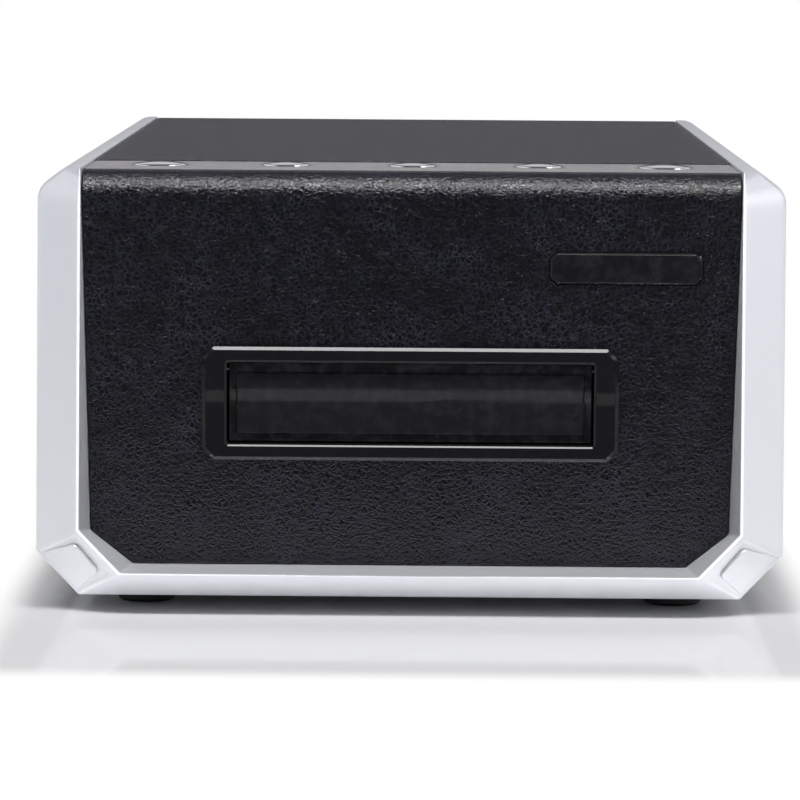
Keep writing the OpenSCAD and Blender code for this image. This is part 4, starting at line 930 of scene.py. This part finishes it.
def build_front(sizes):
    """The front cover: a sheet swept up the face, rolled over the top edge and turned down behind it"""
    inset = Vector((-sizes.seam, sizes.seam))
    upper, lower = (corner + inset for corner in opening_corners(sizes))
    top = Vector((STRIP_HIGH.x, TOP_Z + 2 * MM))
    strip_y, roll_z = PANEL_LOW.y + sizes.roll, PANEL_HIGH.z - sizes.roll
    blank_x = opening_edge(sizes) + 2 * MM
    bm = bmesh.new()
    foot = bm.edges.new([bm.verts.new((x, PANEL_LOW.y, lower.y)) for x in (-blank_x, blank_x)])
    raised = bmesh.ops.extrude_edge_only(bm, edges=[foot])["geom"]
    ends = verts_in(raised)
    bmesh.ops.translate(bm, vec=(0, 0, roll_z - lower.y), verts=ends)
    lip = [e for e in edges_in(raised) if all(v in ends for v in e.verts)]
    rolled = bmesh.ops.spin(
        bm, geom=ends + lip, cent=(0, strip_y, roll_z), axis=(1, 0, 0), dvec=(0, 0, 0),
        angle=-math.pi / 2, steps=20, use_duplicate=False)["geom_last"]
    turned_down = bmesh.ops.extrude_edge_only(bm, edges=edges_in(rolled))["geom"]
    bmesh.ops.translate(bm, vec=(0, 0, -2 * MM), verts=verts_in(turned_down))
    merge(bm)
    for a, b in ((upper, top), (lower, upper)):
        for side in (1, -1):
            cut_outside(bm, (side * a.x, 0, a.y), (side * abs(b.y - a.y), 0, a.x - b.x))
    gap = sizes.throat + 0.1 * MM
    reach = Vector((window_half_w(sizes) + gap, 0, WINDOW_HALF_H + gap))
    middle = Vector((0, PANEL_LOW.y, BEZEL_MIDDLE.z))
    bmesh.ops.delete(bm, geom=slice_window(bm, middle - reach, middle + reach), context="FACES")
    margin = Vector((0.14, 0, 0.14)) * MM
    low, high = PLATE_LOW - margin, PLATE_HIGH + margin
    low.y = high.y = PANEL_LOW.y
    bmesh.ops.delete(bm, geom=slice_window(bm, low, high, 1.6 * MM), context="FACES")
    bmesh.ops.recalc_face_normals(bm, faces=bm.faces)
    face = max(bm.faces, key=lambda f: f.calc_area())
    if face.normal.y > 0:
        bmesh.ops.reverse_faces(bm, faces=bm.faces)
    return bm


class SCANNER_OT_covers(bpy.types.Operator):
    """Makes the grained front with its rolled edge, and the grained top cover with its ribs"""
    bl_idname = "scanner.covers"
    bl_label = "Grained covers"

    def execute(self, context):
        sizes = context.scene.scanner_sizes
        new_piece(
            "grained_front", build_front(sizes), "black_grain", "housing", "front_panel", wall=sizes.wall)
        sheet = slab(Vector((COVER_LOW.x, COVER_LOW.y, COVER_HIGH.z - sizes.wall)), COVER_HIGH, 0.15 * MM)
        rib_low, rib_top = COVER_LOW.z, COVER_HIGH.z - sizes.wall + 0.2 * MM
        half_rib, cross_rib, cross_pitch = 1 * MM, 1.6 * MM, 40 * MM
        ribs = []
        for side in (-1, 1):
            x = side * (COVER_HIGH.x - half_rib)
            ribs.append(slab(Vector((x - half_rib, COVER_LOW.y + 6 * MM, rib_low)),
                             Vector((x + half_rib, COVER_HIGH.y - 6 * MM, rib_top))))
        y = COVER_LOW.y + 30 * MM
        while y < COVER_HIGH.y - 20 * MM:
            ribs.append(slab(Vector((COVER_LOW.x + half_rib, y, rib_low + 1.5 * MM)),
                             Vector((COVER_HIGH.x - half_rib, y + cross_rib, rib_top))))
            y += cross_pitch
        new_piece("grained_top", join(sheet, *ribs), "black_grain", "housing", "top_cover")
        return {"FINISHED"}


class SCANNER_OT_name_plate(bpy.types.Operator):
    """Makes the small bare plate on the front"""
    bl_idname = "scanner.name_plate"
    bl_label = "Bare plate"

    def execute(self, context):
        width, height = PLATE_HIGH.x - PLATE_LOW.x, PLATE_HIGH.z - PLATE_LOW.z
        centre = (PLATE_LOW + PLATE_HIGH) / 2
        bm = bmesh.new()
        rows = extrude_rings(bm, [
            standing(cut_rect(width, height, 1.5 * MM), PLATE_HIGH.y, centre),
            standing(cut_rect(width, height, 1.5 * MM), PLATE_LOW.y + 0.45 * MM, centre),
            standing(cut_rect(width - 0.9 * MM, height - 0.9 * MM, 1.25 * MM), PLATE_LOW.y, centre),
        ], closed=True)
        for row in (rows[0], rows[-1]):
            bm.faces.new(row)
        merge(bm)
        round_edges(bm, sharp_edges(bm, 20), 0.12 * MM, 2)
        new_piece("bare_plate", bm, "gloss_plate", "housing", "blank_plate")
        return {"FINISHED"}


# ---- Buttons ----

# Thickness of the strip's plate, depth of its dishes, and width of the buttons' flanges past their caps
STRIP_PLATE, DISH_DEPTH, FLANGE = 2 * MM, 0.7 * MM, 1 * MM


def build_strip(sizes):
    """The strip's plate with a dished ring and a hole for each button"""
    bm = bmesh.new()
    low, high = STRIP_LOW, STRIP_HIGH
    rim = [(low.x, low.y), (high.x, low.y), (high.x, high.y), (low.x, high.y)]
    levels = [[Vector((x, y, z)) for x, y in rim] for z in (high.z, high.z - STRIP_PLATE)]
    wall = extrude_rings(bm, levels, closed=True)
    top_edges, under_edges = row_edges(bm, wall[0], True), row_edges(bm, wall[1], True)
    for name in BUTTONS:
        cap_low, cap_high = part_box(name + "_button")
        centre = (cap_low + cap_high) / 2
        cap_r = (cap_high.x - cap_low.x) / 2 - FLANGE
        dish_r, hole_r = cap_r + sizes.cap_dish, cap_r + 0.25 * MM
        profile = [(dish_r, 0.0)]
        for k in range(1, 6):
            r = dish_r - (dish_r - hole_r) * k / 5
            profile.append((r, DISH_DEPTH * (1 - ((r - hole_r) / (dish_r - hole_r)) ** 1.6)))
        profile += [(hole_r, DISH_DEPTH + 0.1 * MM), (hole_r, STRIP_PLATE)]
        turns = [math.tau * k / 72 for k in range(72)]
        rows = extrude_rings(bm, [
            [Vector((centre.x + r * math.cos(turn), centre.y + r * math.sin(turn), high.z - deep))
             for turn in turns] for r, deep in profile], closed=True)
        top_edges += row_edges(bm, rows[0], True)
        under_edges += row_edges(bm, rows[-1], True)
    bmesh.ops.triangle_fill(bm, edges=top_edges, use_beauty=True)
    bmesh.ops.triangle_fill(bm, edges=under_edges, use_beauty=True)
    merge(bm)
    near = 0.01 * MM
    outer = [e for e in bm.edges if e.calc_face_angle(0) > 1 and all(
        abs(v.co.x) > high.x - near or not low.y + near < v.co.y < high.y - near for v in e.verts)]
    round_edges(bm, outer, 0.3 * MM, 3)
    return bm


class SCANNER_OT_button_strip(bpy.types.Operator):
    """Makes the satin strip with its dished rings and the posts under it"""
    bl_idname = "scanner.button_strip"
    bl_label = "Button strip"

    def execute(self, context):
        sizes = context.scene.scanner_sizes
        posts = []
        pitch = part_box("scan_button")[0].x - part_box("load_button")[0].x
        bore_r, post_r, height = 0.9 * MM, 2.4 * MM, STRIP_HIGH.z - STRIP_PLATE - STRIP_LOW.z
        profile = [(bore_r, 0), (post_r - 0.2 * MM, 0), (post_r, 0.2 * MM), (post_r, height),
                   (bore_r, height), (bore_r, 0)]
        for k in range(-2, 2):
            for y in (STRIP_LOW.y + 5.8 * MM, STRIP_HIGH.y - 4 * MM):
                posts.append(turned(profile, Vector(((k + 0.5) * pitch, y, STRIP_LOW.z)), UP, 24))
        new_piece("satin_strip", join(build_strip(sizes), *posts), "strip_satin", "housing", "button_strip")
        return {"FINISHED"}


class SCANNER_OT_buttons(bpy.types.Operator):
    """Turns the five domed buttons, each with its flange and stem"""
    bl_idname = "scanner.buttons"
    bl_label = "Buttons"

    def execute(self, context):
        for name in BUTTONS:
            low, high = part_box(name + "_button")
            centre = Vector(((low.x + high.x) / 2, (low.y + high.y) / 2, high.z))
            flange_r = (high.x - low.x) / 2
            cap_r = flange_r - FLANGE
            dome_r = 5 * cap_r
            dome = [(0.0, 0.0)]
            for k in range(1, 15):
                r = (cap_r - 0.25 * MM) * k / 14
                dome.append((r, math.sqrt(dome_r ** 2 - r ** 2) - dome_r))
            edge_h = dome[-1][1]
            dome += [(cap_r - 0.07 * MM, edge_h - 0.08 * MM), (cap_r, edge_h - 0.25 * MM)]
            flange_top = STRIP_HIGH.z - STRIP_PLATE - high.z - 0.1 * MM
            flange_h, stem_r, stem_h = flange_top - 0.8 * MM, 1.6 * MM, low.z - high.z
            under = [(cap_r, flange_top), (flange_r, flange_top), (flange_r, flange_h), (stem_r, flange_h),
                     (stem_r, stem_h + 0.2 * MM), (stem_r - 0.2 * MM, stem_h), (0.0, stem_h)]
            bm = turned(dome + under, centre, UP, 72)
            new_piece(name + "_cap", bm, "chrome_cap", name + "_key", name + "_button")
        return {"FINISHED"}


# ---- Film window ----

BEZEL_MIDDLE = (BEZEL_LOW + BEZEL_HIGH) / 2
# Half of the window's clear height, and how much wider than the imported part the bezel's flange is
WINDOW_HALF_H, BEZEL_EXTRA = (FLAP_HIGH.z - FLAP_LOW.z) / 2 + 0.4 * MM, 1.6 * MM


def window_half_w(sizes):
    """Half of the window's clear width"""
    return PIN_HIGH.x - sizes.throat


def build_bezel(sizes):
    """The bezel and its throat as one ring of sections: flange, outer bevel, face, inner bevel, throat"""
    width, height = BEZEL_HIGH.x - BEZEL_LOW.x + BEZEL_EXTRA, BEZEL_HIGH.z - BEZEL_LOW.z
    half_w, half_h = window_half_w(sizes), WINDOW_HALF_H
    face_y, flange_y = BEZEL_LOW.y, PANEL_LOW.y - 0.02 * MM
    bevel, deep = 0.85 * MM, 0.61 * MM
    inner, inner_deep = 0.55 * MM, 0.4 * MM
    cut, small = 2.7 * MM, 0.35 * MM
    throat_w, throat_h = 2 * (half_w + sizes.throat), 2 * (half_h + sizes.throat)
    sections = [
        (throat_w, throat_h, small, flange_y),
        (width, height, cut, flange_y),
        (width, height, cut, face_y + deep),
        (width - 2 * bevel, height - 2 * bevel, cut - 0.5 * MM, face_y),
        (2 * (half_w + inner), 2 * (half_h + inner), 2 * small, face_y),
        (2 * half_w, 2 * half_h, small, face_y + inner_deep),
        (2 * half_w, 2 * half_h, small, BEZEL_HIGH.y),
        (throat_w, throat_h, small, BEZEL_HIGH.y),
        (throat_w, throat_h, small, flange_y)]
    centre = Vector((0, 0, (FLAP_LOW.z + FLAP_HIGH.z) / 2))
    bm = bmesh.new()
    extrude_rings(bm, [standing(cut_rect(w, h, c), y, centre) for w, h, c, y in sections], closed=True)
    merge(bm)
    round_edges(bm, sharp_edges(bm, 30), 0.09 * MM, 2)
    return bm


def build_flap():
    """The flap: a thin door with a raised pad, ribs behind it and two barrels round its pin"""
    hinge_y, hinge_z = (PIN_LOW.y + PIN_HIGH.y) / 2, (PIN_LOW.z + PIN_HIGH.z) / 2
    door_y = FLAP_LOW.y + 0.8 * MM
    back_y = door_y + 1.2 * MM
    door = Vector((FLAP_LOW.x, door_y, FLAP_LOW.z)), Vector((FLAP_HIGH.x, back_y, FLAP_HIGH.z))
    parts = [slab(*door, 0.18 * MM)]
    side, edge = 1.7 * MM, 1.8 * MM
    pad = slab(Vector((FLAP_LOW.x + side, FLAP_LOW.y, FLAP_LOW.z + edge)),
               Vector((FLAP_HIGH.x - side, door_y + 0.3 * MM, FLAP_HIGH.z - edge - 0.5 * MM)))
    corners = [e for e in pad.edges if abs(e.verts[0].co.y - e.verts[1].co.y) > 0.1 * MM]
    round_edges(pad, corners, 0.8 * MM, 4)
    front = [e for e in pad.edges if all(v.co.y < FLAP_LOW.y + 0.01 * MM for v in e.verts)]
    round_edges(pad, front, 0.45 * MM, 4)
    parts.append(pad)
    for x in (-24, 0, 24):
        low = Vector(((x - 0.6) * MM, back_y - 0.1 * MM, FLAP_LOW.z + 1 * MM))
        high = Vector(((x + 0.6) * MM, back_y + 0.9 * MM, FLAP_HIGH.z - 5 * MM))
        parts.append(slab(low, high, 0.1 * MM, 2))
    bore_r, barrel_r, knuckle, round_r = 0.81 * MM, 1.6 * MM, 11 * MM, 0.1 * MM
    profile = [(bore_r, 0), (barrel_r - round_r, 0), (barrel_r, round_r), (barrel_r, knuckle - round_r),
               (barrel_r - round_r, knuckle), (bore_r, knuckle), (bore_r, 0)]
    end_x = FLAP_HIGH.x - 0.2 * MM
    for x in (-end_x, end_x - knuckle):
        parts.append(turned(profile, Vector((x, hinge_y, hinge_z)), Vector((1, 0, 0)), 40))
    return join(*parts)


class SCANNER_OT_film_window(bpy.types.Operator):
    """Makes the bezel with its throat, and the flap that closes it"""
    bl_idname = "scanner.film_window"
    bl_label = "Film window"

    def execute(self, context):
        sizes = context.scene.scanner_sizes
        new_piece("window_frame", build_bezel(sizes), "gloss_black", "housing", "window_bezel")
        new_piece("film_flap", build_flap(), "gloss_flap", "front_flap", "flap_door")
        return {"FINISHED"}


# ---- Feet ----

class SCANNER_OT_feet(bpy.types.Operator):
    """Turns the four rubber feet"""
    bl_idname = "scanner.feet"
    bl_label = "Feet"

    def execute(self, context):
        radius, height = 7 * MM, FEET_HIGH.z - FEET_LOW.z
        profile = [(0, 0), (radius - 1.2 * MM, 0), (radius - 0.7 * MM, 0.12 * MM),
                   (radius - 0.35 * MM, 0.4 * MM), (radius, 1 * MM), (radius, height), (0, height)]
        feet = []
        for x in (FEET_LOW.x + radius, FEET_HIGH.x - radius):
            for y in (FEET_LOW.y + radius, FEET_HIGH.y - radius):
                feet.append(turned(profile, Vector((x, y, FEET_LOW.z)), UP, 48))
        new_piece("rubber_pads", join(*feet), "foot_rubber", "housing", "rubber_feet")
        return {"FINISHED"}


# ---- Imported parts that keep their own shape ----

class SCANNER_OT_packed_parts(bpy.types.Operator):
    """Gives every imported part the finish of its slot, and welds those that are still shown"""
    bl_idname = "scanner.packed_parts"
    bl_label = "Finish packed parts"

    def execute(self, context):
        slots = {part["node"]: part["material_slot"] for part in frame["record"]["subparts"]}
        for name, node in frame["nodes"].items():
            node.data.materials.clear()
            node.data.materials.append(finish(slots[name]))
            if node.hide_render:
                continue
            weld = node.modifiers.new("Weld", "WELD")
            weld.merge_threshold = 0.001 * MM
        return {"FINISHED"}


# ---- Stage ----

def add_lamp(name, place, target, size, power):
    """A rectangular lamp that shines at a target and stays out of the camera's view"""
    lamp = bpy.data.lights.new(name, "AREA")
    lamp.shape = "RECTANGLE"
    lamp.size, lamp.size_y = size
    lamp.energy = power
    piece = bpy.data.objects.new(name, lamp)
    aim = (Vector(target) - Vector(place)).to_track_quat("-Z", "Y")
    piece.matrix_world = Matrix.Translation(place) @ aim.to_matrix().to_4x4()
    piece.visible_camera = False
    bpy.context.scene.collection.objects.link(piece)


def pale_world(studio):
    """Even light; a white background for the camera, and for gloss and glass a room of uneven brightness"""
    world = bpy.data.worlds.new("Pale studio")
    bpy.context.scene.world = world
    world.use_nodes = True
    tree = world.node_tree
    tree.nodes.clear()
    rays = add_node(tree, "ShaderNodeLightPath")
    # The parts of the direction run from -1 to 1
    direction = add_node(tree, "ShaderNodeTexCoord").outputs[0]
    way = add_node(tree, "ShaderNodeSeparateXYZ", None, Vector=direction)
    behind = span(tree, way.outputs["Y"], -0.2, 0.5)
    height = way.outputs["Z"]
    low = span(tree, height, 0.10, 0.30, studio.backdrop, 0.0)
    band = times(
        tree, span(tree, height, 0.18, 0.25), span(tree, height, 0.38, 0.46, studio.skyline, 0.0))
    back = times(tree, behind, greater(tree, low, band))
    aside = span(tree, maths(tree, "ABSOLUTE", way.outputs["X"]), 0.55, 0.9, studio.room, studio.walls)
    over = span(tree, height, 0.5, 0.9, 0.0, studio.ceiling)
    level = greater(tree, greater(tree, back, aside), over)
    light = add_node(tree, "ShaderNodeBackground", None, Color=(1, 1, 1, 1), Strength=studio.world)
    seen = add_node(tree, "ShaderNodeBackground", None, Color=(0.92, 0.92, 1, 1), Strength=level)
    plain = add_node(tree, "ShaderNodeBackground", None, Color=(1, 1, 1, 1), Strength=1.0)
    around = mix_shaders(tree, mirrored_rays(tree, rays), light, seen)
    mix = mix_shaders(tree, rays.outputs["Is Camera Ray"], around, plain)
    add_node(tree, "ShaderNodeOutputWorld", None, Surface=mix.outputs[0])


def floor_finish(room):
    """White floor: a faint gloss near the object, plain white further out, dimmer far in front"""
    material = bpy.data.materials.new("stage_floor")
    material.use_nodes = True
    tree = material.node_tree
    tree.nodes.clear()
    place = add_node(tree, "ShaderNodeTexCoord").outputs["Object"]
    rays = add_node(tree, "ShaderNodeLightPath")
    pale = blend_colour(tree, rays.outputs["Is Camera Ray"], (0.88, 0.88, 0.89, 1), (0.50, 0.50, 0.51, 1))
    matt = add_node(tree, "ShaderNodeBsdfDiffuse", None, Color=pale)
    gloss = add_node(tree, "ShaderNodeBsdfGlossy", None, Color=(1, 1, 1, 1), Roughness=0.08)
    faint = mix_shaders(tree, 0.16, matt, gloss)
    seen = greater(tree, rays.outputs["Is Camera Ray"], mirrored_rays(tree, rays))
    # The zones' borders are in metres
    spot = add_node(tree, "ShaderNodeSeparateXYZ", None, Vector=place)
    beside = maths(tree, "SUBTRACT", maths(tree, "ABSOLUTE", spot.outputs["X"]), HALF_W)
    ahead = maths(tree, "SUBTRACT", maths(tree, "ABSOLUTE", spot.outputs["Y"]), BACK_Y)
    away = greater(tree, span(tree, beside, 0.0, 0.012), span(tree, ahead, 0.060, 0.075))
    front = span(tree, spot.outputs["Y"], -0.22, -0.19, room, 1.0)
    near = span(tree, spot.outputs["Y"], -0.42, -0.28)
    front = greater(tree, front, maths(tree, "MINIMUM", near, span(tree, beside, 0.0, 0.05)))
    shown = {"i0": rays.outputs["Is Camera Ray"], "i2": front, "i3": 1.0}
    level = add_node(tree, "ShaderNodeMix", None, **shown).outputs[0]
    plain = add_node(tree, "ShaderNodeEmission", None, Color=(1, 1, 1, 1), Strength=level)
    mix = mix_shaders(tree, times(tree, away, seen), faint, plain)
    add_node(tree, "ShaderNodeOutputMaterial", None, Surface=mix.outputs[0])
    return material


class SCANNER_OT_stage(bpy.types.Operator):
    """Sets up the camera, the lamps, the world and the floor"""
    bl_idname = "scanner.stage"
    bl_label = "Stage"

    def execute(self, context):
        scene, studio = context.scene, context.scene.scanner_studio
        scene.view_settings.view_transform = "Standard"
        camera_data = bpy.data.cameras.new("Camera")
        camera_data.lens = studio.lens
        camera_data.clip_end = 50
        camera = bpy.data.objects.new("Camera", camera_data)
        turn = (Matrix.Rotation(-studio.yaw, 4, "Z") @ Matrix.Rotation(math.pi / 2 - studio.pitch, 4, "X")
                @ Matrix.Rotation(studio.roll, 4, "Z"))
        camera.matrix_world = Matrix.Translation(studio.camera_place) @ turn
        scene.collection.objects.link(camera)
        scene.camera = camera

        bm = bmesh.new()
        bmesh.ops.create_circle(bm, cap_ends=True, segments=96, radius=14)
        mesh = bpy.data.meshes.new("floor")
        bm.to_mesh(mesh)
        bm.free()
        mesh.materials.append(floor_finish(studio.room))
        floor = bpy.data.objects.new("floor", mesh)
        scene.collection.objects.link(floor)

        pale_world(studio)
        target = (0, PANEL_LOW.y, 0.06)
        add_lamp("top_lamp", (0, -0.54, 0.98), target, (1.1, 0.15), studio.top_power)
        add_lamp("side_lamp", (0.9, -0.7, 0.5), target, (0.5, 0.5), studio.side_power)
        add_lamp("low_lamp", (0, -0.539, 0.0005), (0, -0.539, 1), (1.2, 0.034), studio.low_power)
        return {"FINISHED"}


class SCANNER_PT_panel(bpy.types.Panel):
    """Lists the builder's steps"""
    bl_idname = "SCANNER_PT_panel"
    bl_label = "Film scanner"
    bl_space_type = "VIEW_3D"
    bl_region_type = "UI"
    bl_category = "Scanner"

    def draw(self, context):
        for step in STEPS:
            self.layout.operator(step.bl_idname)
        for name in ("scanner_sizes", "scanner_finishes", "scanner_studio"):
            group = getattr(context.scene, name)
            box = self.layout.box()
            for key in group.bl_rna.properties.keys():
                if key not in ("rna_type", "name"):
                    box.prop(group, key)


STEPS = (
    SCANNER_OT_stage, SCANNER_OT_shell, SCANNER_OT_corner_pads, SCANNER_OT_covers, SCANNER_OT_name_plate,
    SCANNER_OT_button_strip, SCANNER_OT_buttons, SCANNER_OT_film_window, SCANNER_OT_feet,
    SCANNER_OT_packed_parts,
)
GROUPS = {
    "scanner_sizes": ScannerSizes, "scanner_finishes": ScannerFinishes, "scanner_studio": ScannerStudio,
}


def register():
    for cls in (*GROUPS.values(), *STEPS, SCANNER_PT_panel):
        bpy.utils.register_class(cls)
    for name, cls in GROUPS.items():
        setattr(bpy.types.Scene, name, bpy.props.PointerProperty(type=cls))


def unregister():
    for name in GROUPS:
        delattr(bpy.types.Scene, name)
    for cls in (SCANNER_PT_panel, *reversed(STEPS), *reversed(GROUPS.values())):
        bpy.utils.unregister_class(cls)


def main():
    """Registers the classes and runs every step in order"""
    register()
    for step in STEPS:
        family, name = step.bl_idname.split(".")
        getattr(getattr(bpy.ops, family), name)()


if __name__ == "__main__":
    main()
